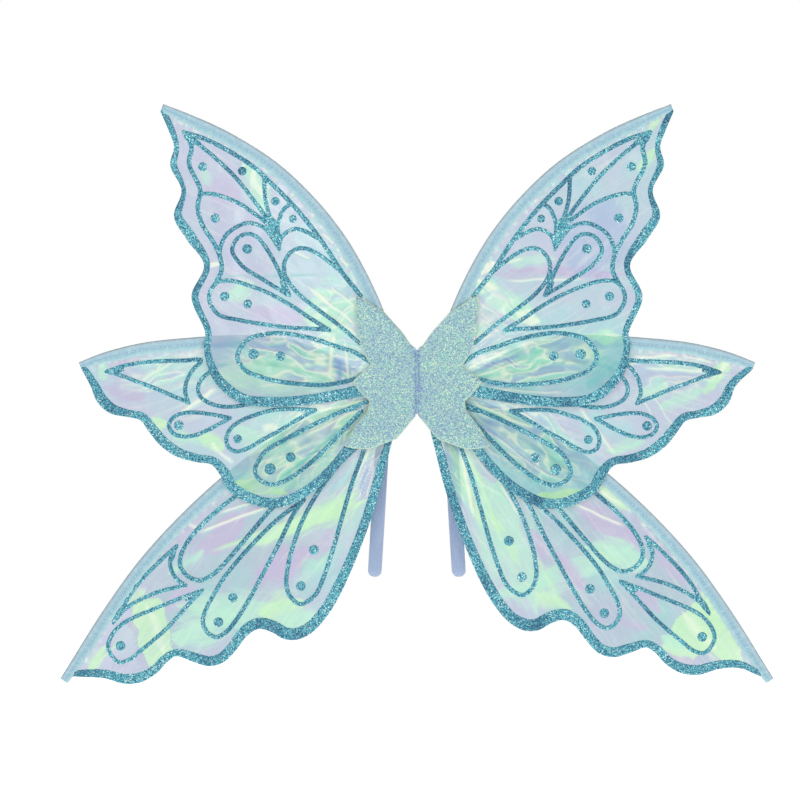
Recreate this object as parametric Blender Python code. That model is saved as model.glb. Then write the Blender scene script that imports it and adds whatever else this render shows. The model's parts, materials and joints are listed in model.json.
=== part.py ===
"""Dress-up fairy wings with three wings on each side of a soft, folding glitter pad.

The frame: +X to the viewer's right, +Z up, and the wearer's back is on the +Y side. The origin is
the middle of the flat rear face of the back panel. Lengths below are in millimetres, and MM turns
them into metres when a mesh is made. The right side is described, and the left one is its mirror.
"""
from math import cos, radians, sin

import bmesh
import bpy
from mathutils import Matrix, Vector

MM = 0.001
RIGHT, LEFT = 1, -1
SIDES = {"left": LEFT, "right": RIGHT}
GAP = 0.3                      # air between pieces that touch on the real thing
COARSE, FINE = 2, 3            # how many edges a smooth curve has from each point to the next
SHARP_ANGLE = radians(40)

# The stack of layers, front (-Y) to back (+Y). Each wing lies in a slab of its own.
PAD_FRONT = -20.2
PAD_BACK = -19.0
WING_MIDDLE = {"upper": -16.9, "middle": -13.1, "lower": -9.3}
STIFFENER_Y = (-7.2, -6.2)
REAR_COVER_Y = (-5.9, -4.9)
FOAM_Y = (-4.6, -1.5)
BACK_PANEL_Y = (-1.2, 0.0)
TAB_Y = (0.3, 1.6)

# Edge casing: a flat satin tube with the frame wire in its outer fold.
CASING_WIDTH = 10.0
CASING_TIP_TAPER = 35.0        # length over which a casing narrows to its tip
CASING_HALF_THICK = 1.75
CASING_EDGE_HALF = 0.8
CASING_SHOULDERS = (1.2, 3.8)  # where the section is thickest, from the outer edge
BORE_FROM_EDGE = 2.45
BORE_RADIUS = 1.2
WIRE_RADIUS = 0.8
WIRE_TAIL = 5.0                # bare wire past the casing, inside the pad
WIRE_SHORT_OF_TIP = 9.0
WIRE_TIP_RADIUS = 0.85
WIRE_TIP_LENGTH = 6.0
OCTAGON_START, OCTAGON_TURN = 202.5, 45.0   # degrees, for the wire's and the bore's section

FILM_HALF_THICK = 0.3
GLITTER_THICK = 0.5

SEAM_HALF_WIDTH = 1.0
SEAM_HALF_HEIGHT = 26.0
SEAM_Y = (PAD_FRONT, FOAM_Y[0] - GAP)
HALF_INNER_X = 1.3             # each folding half starts here, beside the seam

STRAP_WIDTH = 11.0
STRAP_THICK = 1.3
STRAP_TOP = (24.4, 0.95, 8.4)   # where the strap leaves its upper tab
STRAP_LEAN = radians(3.4)       # it hangs a little outwards
TAB_LENGTH = 14.0
LOWER_TAB_START = 20.0          # down the strap's line from STRAP_TOP

# Each wing, as seen on the right: outer edge of the casing from root to tip, then the scalloped
# edge from tip to root with the width of its glitter border. Points are (outwards, up[, width]).
# The film's corner lies on the casing, tip_overhang short of the casing's end.
BORDER_TIP_WIDTH = 4.5
WINGS = {
    "upper": {
        "pivot": (17, 14),
        "tip_width": 6.0,
        "leading": [(14, 10), (17, 26), (22, 44), (30, 65), (44, 94), (60, 120), (82, 147),
                    (112, 175), (150, 199), (178, 212), (202.5, 221.5)],
        "tip_overhang": 0.0,
        "scallops": [(198.5, 201, 5), (194, 187.5, 4.2), (197, 173, 5.5),
                     (188, 152.5, 3.8), (194, 132, 6.5), (183.5, 113, 8), (170, 93, 5),
                     (180, 68, 5.5), (169, 39, 5), (170, 26, 5), (164, 4, 7),
                     (151.5, -10.5, 8), (138, -18, 8), (118, -20.2, 8), (90, -18.7, 8),
                     (60, -14.6, 9), (32, -9.5, 9.5)],
        "root": [(27, -1)],
    },
    "middle": {
        "pivot": (20, -7),
        "tip_width": 6.0,
        "leading": [(16, -6), (28, -1), (52, 12), (80, 27), (112, 36), (145, 37.3), (185, 35),
                    (220, 31), (250, 23.5), (270.5, 15.5)],
        "tip_overhang": 0.0,
        "scallops": [(259, -3, 6.5), (253, -17, 8.5), (243, -25.5, 8),
                     (229, -28.5, 6), (219, -31, 6.5), (212, -40, 7.5), (203, -51, 8),
                     (190, -60, 7.5), (174, -64.5, 6.5), (162, -66.5, 6.5), (155.5, -74, 8),
                     (148, -87, 8), (134, -96.5, 8.5), (118, -101, 8), (103, -100, 8),
                     (89, -94, 8), (75, -84, 7.5), (60, -69, 7.5), (48, -54, 7.5), (30, -30, 6.5)],
        "root": [(20, -20)],
    },
    "lower": {
        "pivot": (18, -24),
        "tip_width": 7.0,
        "leading": [(16, -16), (30, -12.5), (45, -13.5), (62, -19), (100, -36), (140, -63),
                    (180, -97.5), (220, -140), (250, -181), (286, -238)],
        "tip_overhang": 7.0,
        "scallops": [(262, -233, 6), (246, -234, 7), (230, -238.5, 8),
                     (216, -237, 8), (204, -230, 7), (195, -220.5, 6.5), (188, -216.5, 6),
                     (176, -220.5, 7.5), (162, -224.3, 8), (150, -221, 8), (140, -211, 8),
                     (131, -199.5, 8.5), (122, -194.5, 9), (112, -197, 9.3), (102, -202.5, 9.5),
                     (91, -203, 9.5), (79, -197, 9), (68, -185, 8.5), (58, -169, 8.5),
                     (49, -150, 8), (40, -128, 7.5), (32, -106, 7.5), (25, -83, 7.5),
                     (20, -63, 7), (15, -43, 5)],
        "root": [(16, -34)],
    },
}

# The glitter pad's right half, as smooth runs that meet at corners, from the top of the seam.
PAD_RUNS = [
    [(HALF_INNER_X, 26.7), (5, 30), (11, 38.5), (18, 46.5), (26, 55.5)],
    [(26, 55.5), (49, 69.5)],
    [(49, 69.5), (49, 52), (46.5, 36), (42.5, 23), (36.5, 13.5)],
    [(36.5, 13.5), (44, 7), (51.5, 0)],
    [(51.5, 0), (47, -6.5), (38, -15.5)],
    [(38, -15.5), (39.5, -23), (45.5, -31), (52, -40), (58.5, -51.5)],
    [(58.5, -51.5), (48, -53.5), (38, -53.5), (28, -50), (16, -45.5)],
    [(16, -45.5), (9, -37), (HALF_INNER_X, -27)],
]
STIFFENER_OUTLINE = [(4, 22), (14, 34), (30, 46), (38, 40), (34, 14), (40, 0), (33, -14),
                     (38, -32), (44, -44), (28, -43), (14, -34), (4, -22)]
BACK_PANEL_HALF = [(0, 25), (28, 25), (31, 22), (31, 11), (29, 9), (17.5, 9), (16, 7.5),
                   (16, -7.5), (17.5, -9), (31, -9), (33.5, -11.5), (33.5, -22.5), (31, -25),
                   (0, -25)]
FOAM_HALF = [(0, 23.5), (12.5, 23.5), (15.5, 20.5), (15.5, -20.5), (12.5, -23.5), (0, -23.5)]

# One shoulder loop in its own plane: (down the strap's line, away from the body).
STRAP_LOOP = [(GAP, 0), (5, 0.9), (13, 5), (23, 9.6), (40, 14), (70, 17.8), (105, 18.6),
              (138, 16.6), (157, 12.6), (166, 7.2), (163, 2.2), (154, 0.2), (140, 0),
              (100, 0), (60, 0), (LOWER_TAB_START + TAB_LENGTH + GAP, 0)]

MATERIALS = {
    "iridescent_film": ((0.70, 0.76, 0.90), 0.12, 0.0, 0.45),
    "teal_glitter": ((0.10, 0.46, 0.55), 0.35, 0.6, 1.0),
    "satin_casing": ((0.55, 0.72, 0.82), 0.45, 0.0, 1.0),
    "frame_wire": ((0.62, 0.63, 0.65), 0.30, 1.0, 1.0),
    "vinyl_tip": ((0.80, 0.84, 0.88), 0.50, 0.0, 1.0),
    "glitter_fabric": ((0.48, 0.74, 0.72), 0.45, 0.3, 1.0),
    "backing_fabric": ((0.52, 0.68, 0.78), 0.80, 0.0, 1.0),
    "stiffener_sheet": ((0.86, 0.88, 0.90), 0.55, 0.0, 1.0),
    "pad_foam": ((0.90, 0.91, 0.93), 0.90, 0.0, 1.0),
    "elastic": ((0.42, 0.50, 0.66), 0.75, 0.0, 1.0),
}


def clear_scene():
    for old in list(bpy.data.objects):
        bpy.data.objects.remove(old, do_unlink=True)


def make_material(name):
    color, roughness, metallic, alpha = MATERIALS[name]
    material = bpy.data.materials.new(name)
    material.use_nodes = True
    shader = material.node_tree.nodes["Principled BSDF"]
    shader.inputs["Base Color"].default_value = (*color, 1.0)
    shader.inputs["Roughness"].default_value = roughness
    shader.inputs["Metallic"].default_value = metallic
    shader.inputs["Alpha"].default_value = alpha
    return material


def smooth_curve(points, per_span):
    """Points along the centripetal Catmull-Rom curve that passes through the given points."""
    given = [Vector(point) for point in points]
    given = [2 * given[0] - given[1], *given, 2 * given[-1] - given[-2]]
    curve = []
    for before, start, end, after in zip(given, given[1:], given[2:], given[3:]):
        into = (start - before).length ** 0.5
        along = (end - start).length ** 0.5
        out = (after - end).length ** 0.5
        leave = (start - before) / into - (end - before) / (into + along) + (end - start) / along
        arrive = (end - start) / along - (after - start) / (along + out) + (after - end) / out
        for step in range(per_span):
            at = step / per_span
            rest = 1 - at
            curve.append(rest * rest * (1 + 2 * at) * start + at * at * (3 - 2 * at) * end
                         + along * at * rest * (rest * leave - at * arrive))
    curve.append(given[-2].copy())
    return curve


def flat(point):
    return Vector((point[0], point[1]))


def inward_normals(curve):
    """For each point, the unit normal on the right of the curve, which is the film's side."""
    normals = []
    for index in range(len(curve)):
        ahead = flat(curve[min(index + 1, len(curve) - 1)])
        behind = flat(curve[max(index - 1, 0)])
        along = (ahead - behind).normalized()
        normals.append(Vector((along.y, -along.x)))
    return normals


def offset(curve, normals, distances):
    return [flat(point) + normal * distance
            for point, normal, distance in zip(curve, normals, distances)]


def clear_of(point, edge, clearance):
    """Move a point that lies over the edge, or nearer than clearance, back to its right side."""
    nearest = None
    for start, end in zip(edge, edge[1:]):
        along = end - start
        share = min(1.0, max(0.0, (point - start).dot(along) / along.length_squared))
        foot = start + along * share
        if nearest is None or (point - foot).length < (point - nearest[0]).length:
            nearest = (foot, Vector((along.y, -along.x)).normalized())
    foot, normal = nearest
    inside = (point - foot).dot(normal)
    return point if inside >= clearance else point + normal * (clearance - inside)


def lengths_to_end(curve):
    """How far each point is from the curve's last point, measured along the curve."""
    lengths = [0.0]
    for here, ahead in zip(reversed(curve[:-1]), reversed(curve[1:])):
        lengths.append(lengths[-1] + (flat(ahead) - flat(here)).length)
    return lengths[::-1]


def add_object(name, mesh_data, material, axis):
    """Turn a closed bmesh in millimetres into an object whose parent empty is its joint's axis."""
    bmesh.ops.recalc_face_normals(mesh_data, faces=mesh_data.faces)
    bmesh.ops.scale(mesh_data, vec=(MM, MM, MM), verts=mesh_data.verts)
    mesh = bpy.data.meshes.new(name)
    mesh_data.to_mesh(mesh)
    mesh_data.free()
    mesh.materials.append(material)
    piece = bpy.data.objects.new(name, mesh)
    bpy.context.scene.collection.objects.link(piece)
    hang_on(piece, axis)
    return piece


def add_axis(name, place, parent=None):
    """An empty on a joint's axis. Its place is kept in world millimetres for its children."""
    axis = bpy.data.objects.new(name, None)
    axis.empty_display_size = 0.02
    bpy.context.scene.collection.objects.link(axis)
    axis.location = Vector(place) * MM
    hang_on(axis, parent)
    axis["place_mm"] = place
    return axis


def hang_on(piece, axis):
    if axis is None:
        return
    piece.parent = axis
    piece.matrix_parent_inverse = Matrix.Translation(-Vector(axis["place_mm"]) * MM)


def prism(outline, place, near, far):
    """A flat sheet with this outline. place(a, b, depth) puts a point of it in the world."""
    solid = bmesh.new()
    rims = [[solid.verts.new(place(*point, depth)) for point in outline] for depth in (near, far)]
    solid.faces.new(rims[0])
    solid.faces.new(rims[1])
    join_rims(solid, rims[0], rims[1])
    return solid


def ribbon(one_edge, other_edge, place, near, far):
    """A closed strip between two edges of equal count, as thick as near to far."""
    solid = bmesh.new()
    sections = []
    for one, other in zip(one_edge, other_edge):
        corners = ((one, near), (other, near), (other, far), (one, far))
        sections.append([solid.verts.new(place(*point, depth)) for point, depth in corners])
    for here, ahead in zip(sections, sections[1:]):
        join_rims(solid, here, ahead)
    solid.faces.new(sections[0])
    solid.faces.new(sections[-1])
    return solid


def join_rims(solid, rim, other):
    for index in range(len(rim)):
        after = (index + 1) % len(rim)
        solid.faces.new((rim[index], rim[after], other[after], other[index]))


def tube(stations, section, place, bore=None):
    """Sweep a section along (point, normal, width) stations; a bore makes it hollow and open."""
    solid = bmesh.new()
    outer = sweep_rims(solid, stations, section, place)
    if bore is None:
        solid.faces.new(outer[0])
        solid.faces.new(outer[-1])
        return solid
    inner = sweep_rims(solid, stations, bore, place)
    join_rims(solid, outer[0], inner[0])
    join_rims(solid, outer[-1], inner[-1])
    return solid


def sweep_rims(solid, stations, section, place):
    rims = []
    for point, normal, width in stations:
        rims.append([solid.verts.new(place(*(point + normal * across), depth))
                     for across, depth in section(width)])
    for here, ahead in zip(rims, rims[1:]):
        join_rims(solid, here, ahead)
    return rims


def casing_section(width):
    """Eight points round the casing, as (from the outer edge, front to back)."""
    low, high = CASING_SHOULDERS
    thick, edge = CASING_HALF_THICK, CASING_EDGE_HALF
    return [(0, -edge), (0, edge), (low, thick), (high, thick),
            (width, edge), (width, -edge), (high, -thick), (low, -thick)]


def round_section(radius):
    """An octagon round the middle of the bore, in step with casing_section's points."""
    turns = [radians(OCTAGON_START - OCTAGON_TURN * index) for index in range(8)]
    return lambda width: [(BORE_FROM_EDGE + radius * cos(turn), radius * sin(turn))
                          for turn in turns]


def shade_round(piece):
    piece.data.shade_smooth()
    piece.data.set_sharp_from_angle(angle=SHARP_ANGLE)


def casing_widths(curve, tip_width):
    widths = []
    for to_tip in lengths_to_end(curve):
        share = min(1.0, to_tip / CASING_TIP_TAPER)
        widths.append(tip_width + (CASING_WIDTH - tip_width) * share)
    return widths


def between(station, other, share):
    point = station[0].lerp(other[0], share)
    normal = station[1].lerp(other[1], share).normalized()
    return point, normal, station[2] + (other[2] - station[2]) * share


def make_wing(side_name, level, materials, fold_axis):
    """One wing: casing, wire, wire tip, film and glitter border, on its own spread axis."""
    side = SIDES[side_name]
    wing = WINGS[level]
    middle = WING_MIDDLE[level]
    name = f"{level}_{side_name}"

    def place(outward, up, depth):
        return side * outward, middle + depth, up

    pivot = wing["pivot"]
    axis = add_axis(f"{name}_spread_axis", (side * pivot[0], middle, pivot[1]), fold_axis)

    leading = [flat(point) for point in smooth_curve(wing["leading"], COARSE)]
    normals = inward_normals(leading)
    widths = casing_widths(leading, wing["tip_width"])
    stations = list(zip(leading, normals, widths))
    solid = tube(stations, casing_section, place, round_section(BORE_RADIUS))
    shade_round(add_object(f"{name}_edge_casing", solid, materials["satin_casing"], axis))

    make_wire(name, stations, place, materials, axis)
    make_film_and_border(name, wing, leading, normals, widths, place, materials, axis)


def make_wire(name, stations, place, materials, axis):
    """The frame wire in the casing's bore, and the vinyl tip that covers its sharp end."""
    root, after_root = stations[0], stations[1]
    tail = WIRE_TAIL / (after_root[0] - root[0]).length
    last = (stations[-1][0] - stations[-2][0]).length
    wire_end = 1 - WIRE_SHORT_OF_TIP / last
    wire_line = [between(root, after_root, -tail), *stations[:-1],
                 between(stations[-2], stations[-1], wire_end)]
    solid = tube(wire_line, round_section(WIRE_RADIUS), place)
    shade_round(add_object(f"{name}_frame_wire", solid, materials["frame_wire"], axis))

    tip_start = wire_end + GAP / last
    tip_end = tip_start + WIRE_TIP_LENGTH / last
    tip_line = [between(stations[-2], stations[-1], at) for at in (tip_start, tip_end)]
    solid = tube(tip_line, round_section(WIRE_TIP_RADIUS), place)
    shade_round(add_object(f"{name}_wire_tip", solid, materials["vinyl_tip"], axis))


def make_film_and_border(name, wing, leading, normals, widths, place, materials, axis):
    """The film panel, and the glitter border along its scalloped edge, on its front face."""
    film_edge = offset(leading, normals, [width + GAP for width in widths])
    last = film_edge[-2] - film_edge[-1]
    film_edge[-1] = film_edge[-1] + last.normalized() * wing["tip_overhang"]
    corner = (*film_edge[-1], BORDER_TIP_WIDTH)
    scallops = smooth_curve([corner, *wing["scallops"]], FINE)
    outer = [flat(point) for point in scallops]
    outline = film_edge + outer[1:] + [Vector(point) for point in wing["root"]]
    solid = prism(outline, place, -FILM_HALF_THICK, FILM_HALF_THICK)
    add_object(f"{name}_film", solid, materials["iridescent_film"], axis)

    inner = offset(scallops, inward_normals(scallops), [point[2] for point in scallops])
    inner = [clear_of(point, film_edge, GAP) for point in inner]
    glitter_back = -FILM_HALF_THICK - GAP
    solid = ribbon(outer, inner, place, glitter_back - GLITTER_THICK, glitter_back)
    add_object(f"{name}_glitter_border", solid, materials["teal_glitter"], axis)


def pad_outline():
    outline = []
    for run in PAD_RUNS:
        outline.extend(smooth_curve(run, COARSE)[:-1])
    outline.append(Vector(PAD_RUNS[-1][-1]))
    return outline


def make_half(side_name, materials):
    """One folding half: front and rear pad covers, the stiffener between them, three wings."""
    side = SIDES[side_name]

    def place(outward, up, depth):
        return side * outward, depth, up

    fold_axis = add_axis(f"{side_name}_fold_axis", (0, PAD_FRONT, 0))
    layers = (
        (f"{side_name}_front_glitter_pad", pad_outline(), (PAD_FRONT, PAD_BACK), "glitter_fabric"),
        (f"{side_name}_stiffener_card", STIFFENER_OUTLINE, STIFFENER_Y, "stiffener_sheet"),
        (f"{side_name}_rear_pad_cover", pad_outline(), REAR_COVER_Y, "backing_fabric"),
    )
    for name, outline, (near, far), slot in layers:
        add_object(name, prism(outline, place, near, far), materials[slot], fold_axis)
    for level in WINGS:
        make_wing(side_name, level, materials, fold_axis)


def both_halves(right_half):
    """A closed outline from its right half, whose first and last points are on the middle."""
    return right_half + [(-outward, up) for outward, up in reversed(right_half[1:-1])]


def make_centre(materials):
    """The pieces that stay put: the stitched seam, the back panel and the foam in front of it."""

    def place(outward, up, depth):
        return outward, depth, up

    seam = [(-SEAM_HALF_WIDTH, -SEAM_HALF_HEIGHT), (SEAM_HALF_WIDTH, -SEAM_HALF_HEIGHT),
            (SEAM_HALF_WIDTH, SEAM_HALF_HEIGHT), (-SEAM_HALF_WIDTH, SEAM_HALF_HEIGHT)]
    layers = (
        ("centre_seam", seam, SEAM_Y, "glitter_fabric"),
        ("back_pad_foam", both_halves(FOAM_HALF), FOAM_Y, "pad_foam"),
        ("back_panel", both_halves(BACK_PANEL_HALF), BACK_PANEL_Y, "backing_fabric"),
    )
    for name, outline, (near, far), slot in layers:
        add_object(name, prism(outline, place, near, far), materials[slot], None)


def make_strap(side_name, materials):
    """One elastic shoulder loop that swings about the line between its two sewn ends."""
    side = SIDES[side_name]
    top = Vector((side * STRAP_TOP[0], STRAP_TOP[1], STRAP_TOP[2]))
    down = Vector((side * sin(STRAP_LEAN), 0, -cos(STRAP_LEAN)))
    across = Vector((side * cos(STRAP_LEAN), 0, sin(STRAP_LEAN)))
    back = Vector((0, 1, 0))

    def place(along, away, sideways):
        return top + down * along + back * away + across * sideways

    half = STRAP_WIDTH / 2
    tab_half = (TAB_Y[1] - TAB_Y[0]) / 2
    for level, start in (("upper", -TAB_LENGTH), ("lower", LOWER_TAB_START)):
        tab = [(start, -tab_half), (start + TAB_LENGTH, -tab_half),
               (start + TAB_LENGTH, tab_half), (start, tab_half)]
        add_object(f"{side_name}_strap_{level}_tab", prism(tab, place, -half, half),
                   materials["elastic"], None)

    axis = add_axis(f"{side_name}_strap_axis", tuple(top))
    middle = smooth_curve(STRAP_LOOP, COARSE)
    normals = inward_normals(middle)
    normals[0] = Vector((0, -1))   # both ends are cut square, against the tabs
    normals[-1] = Vector((0, 1))
    thick = [STRAP_THICK / 2] * len(middle)
    thin = [-STRAP_THICK / 2] * len(middle)
    solid = ribbon(offset(middle, normals, thick), offset(middle, normals, thin), place,
                   -half, half)
    shade_round(add_object(f"{side_name}_shoulder_strap", solid, materials["elastic"], axis))


def main():
    clear_scene()
    materials = {name: make_material(name) for name in MATERIALS}
    make_centre(materials)
    for side_name in SIDES:
        make_half(side_name, materials)
        make_strap(side_name, materials)


main()
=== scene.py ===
"""Looks for the dress-up fairy wings: film, glitter, satin casings, padded glitter body and straps.

Lengths in the lists are millimetres in the CAD frame: +X to the viewer's right, +Z up, and the
viewer on the -Y side. A wing is described on the right side as (outwards, up), and "lift" is how
far a surface stands towards the viewer from its layer's middle. The left side is the mirror.
"""
import json
from math import cos, pi, radians, sin

import bmesh
import bpy
import numpy as np
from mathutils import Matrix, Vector


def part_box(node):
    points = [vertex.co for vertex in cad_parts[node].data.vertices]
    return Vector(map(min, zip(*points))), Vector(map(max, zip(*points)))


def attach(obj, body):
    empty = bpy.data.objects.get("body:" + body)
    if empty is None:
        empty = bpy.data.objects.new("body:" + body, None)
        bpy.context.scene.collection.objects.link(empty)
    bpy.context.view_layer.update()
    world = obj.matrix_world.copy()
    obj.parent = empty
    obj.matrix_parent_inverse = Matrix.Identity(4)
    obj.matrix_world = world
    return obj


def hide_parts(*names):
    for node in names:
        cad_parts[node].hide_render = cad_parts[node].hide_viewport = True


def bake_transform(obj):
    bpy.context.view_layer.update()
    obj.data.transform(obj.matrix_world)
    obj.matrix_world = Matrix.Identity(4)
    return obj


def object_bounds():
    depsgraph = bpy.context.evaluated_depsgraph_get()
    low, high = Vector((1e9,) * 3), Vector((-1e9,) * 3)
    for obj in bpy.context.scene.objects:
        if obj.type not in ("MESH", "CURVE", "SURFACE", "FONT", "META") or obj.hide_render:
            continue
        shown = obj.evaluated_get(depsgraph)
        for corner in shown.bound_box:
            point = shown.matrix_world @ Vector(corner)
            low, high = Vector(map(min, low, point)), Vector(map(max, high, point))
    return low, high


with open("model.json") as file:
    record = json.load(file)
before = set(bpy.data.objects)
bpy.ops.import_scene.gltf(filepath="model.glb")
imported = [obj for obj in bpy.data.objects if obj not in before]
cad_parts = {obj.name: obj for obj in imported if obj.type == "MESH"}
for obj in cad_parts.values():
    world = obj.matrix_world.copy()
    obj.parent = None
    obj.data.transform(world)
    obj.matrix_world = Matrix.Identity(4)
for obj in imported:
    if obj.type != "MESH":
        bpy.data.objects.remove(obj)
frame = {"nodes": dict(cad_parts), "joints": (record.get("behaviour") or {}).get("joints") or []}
CAD_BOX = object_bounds()

MM = 0.001
SIDES = {"left": -1, "right": 1}
LEVELS = ("upper", "middle", "lower")

# ---------------------------------------------------------------------------------------------
# Shapes that the CAD also has
# ---------------------------------------------------------------------------------------------
CASING_WIDTH = 10.0
CASING_TIP_TAPER = 35.0
BORDER_TIP_WIDTH = 4.5
CASING_TO_FILM = 0.3

WINGS = {
    "upper": {
        "pivot": (17, 14),
        "tip_width": 6.0,
        "leading": [(14, 10), (17, 26), (22, 44), (30, 65), (44, 94), (60, 120), (82, 147),
                    (112, 175), (150, 199), (178, 212), (202.5, 221.5)],
        "tip_overhang": 0.0,
        "scallops": [(198.5, 201, 5), (194, 187.5, 4.2), (197, 173, 5.5),
                     (188, 152.5, 3.8), (194, 132, 6.5), (183.5, 113, 8), (170, 93, 5),
                     (180, 68, 5.5), (169, 39, 5), (170, 26, 5), (164, 4, 7),
                     (151.5, -10.5, 8), (138, -18, 8), (118, -20.2, 8), (90, -18.7, 8),
                     (60, -14.6, 9), (32, -9.5, 9.5)],
        "root": [(27, -1)],
    },
    "middle": {
        "pivot": (20, -7),
        "tip_width": 6.0,
        "leading": [(16, -6), (28, -1), (52, 12), (80, 27), (112, 36), (145, 37.3), (185, 35),
                    (220, 31), (250, 23.5), (270.5, 15.5)],
        "tip_overhang": 0.0,
        "scallops": [(259, -3, 6.5), (253, -17, 8.5), (243, -25.5, 8),
                     (229, -28.5, 6), (219, -31, 6.5), (212, -40, 7.5), (203, -51, 8),
                     (190, -60, 7.5), (174, -64.5, 6.5), (162, -66.5, 6.5), (155.5, -74, 8),
                     (148, -87, 8), (134, -96.5, 8.5), (118, -101, 8), (103, -100, 8),
                     (89, -94, 8), (75, -84, 7.5), (60, -69, 7.5), (48, -54, 7.5), (30, -30, 6.5)],
        "root": [(20, -20)],
    },
    "lower": {
        "pivot": (18, -24),
        "tip_width": 7.0,
        "leading": [(16, -16), (30, -12.5), (45, -13.5), (62, -19), (100, -36), (140, -63),
                    (180, -97.5), (220, -140), (250, -181), (286, -238)],
        "tip_overhang": 7.0,
        "scallops": [(262, -233, 6), (246, -234, 7), (230, -238.5, 8),
                     (216, -237, 8), (204, -230, 7), (195, -220.5, 6.5), (188, -216.5, 6),
                     (176, -220.5, 7.5), (162, -224.3, 8), (150, -221, 8), (140, -211, 8),
                     (131, -199.5, 8.5), (122, -194.5, 9), (112, -197, 9.3), (102, -202.5, 9.5),
                     (91, -203, 9.5), (79, -197, 9), (68, -185, 8.5), (58, -169, 8.5),
                     (49, -150, 8), (40, -128, 7.5), (32, -106, 7.5), (25, -83, 7.5),
                     (20, -63, 7), (15, -43, 5)],
        "root": [(16, -34)],
    },
}
SEAM_EDGE = 1.0                 # where a pad half meets the seam
PAD_RUNS = [
    [(SEAM_EDGE, 26.7), (5, 30), (11, 38.5), (18, 46.5), (26, 55.5)],
    [(26, 55.5), (49, 69.5)],
    [(49, 69.5), (49, 52), (46.5, 36), (42.5, 23), (36.5, 13.5)],
    [(36.5, 13.5), (44, 7), (51.5, 0)],
    [(51.5, 0), (47, -6.5), (38, -15.5)],
    [(38, -15.5), (39.5, -23), (45.5, -31), (52, -40), (58.5, -51.5)],
    [(58.5, -51.5), (48, -53.5), (38, -53.5), (28, -50), (16, -45.5)],
    [(16, -45.5), (9, -37), (SEAM_EDGE, -27)],
]
BACK_PANEL_HALF = [(0, 25), (28, 25), (31, 22), (31, 11), (29, 9), (17.5, 9), (16, 7.5),
                   (16, -7.5), (17.5, -9), (31, -9), (33.5, -11.5), (33.5, -22.5), (31, -25),
                   (0, -25)]
FOAM_HALF = [(0, 23.5), (12.5, 23.5), (15.5, 20.5), (15.5, -20.5), (12.5, -23.5), (0, -23.5)]
STRAP_WIDTH = 11.0
STRAP_THICK = 1.3
STRAP_LEAN = radians(3.4)
STRAP_LOOP = [(0.3, 0), (5, 0.9), (13, 5), (23, 9.6), (40, 14), (70, 17.8), (105, 18.6),
              (138, 16.6), (157, 12.6), (166, 7.2), (163, 2.2), (154, 0.2), (140, 0),
              (100, 0), (60, 0), (34.3, 0)]

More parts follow.
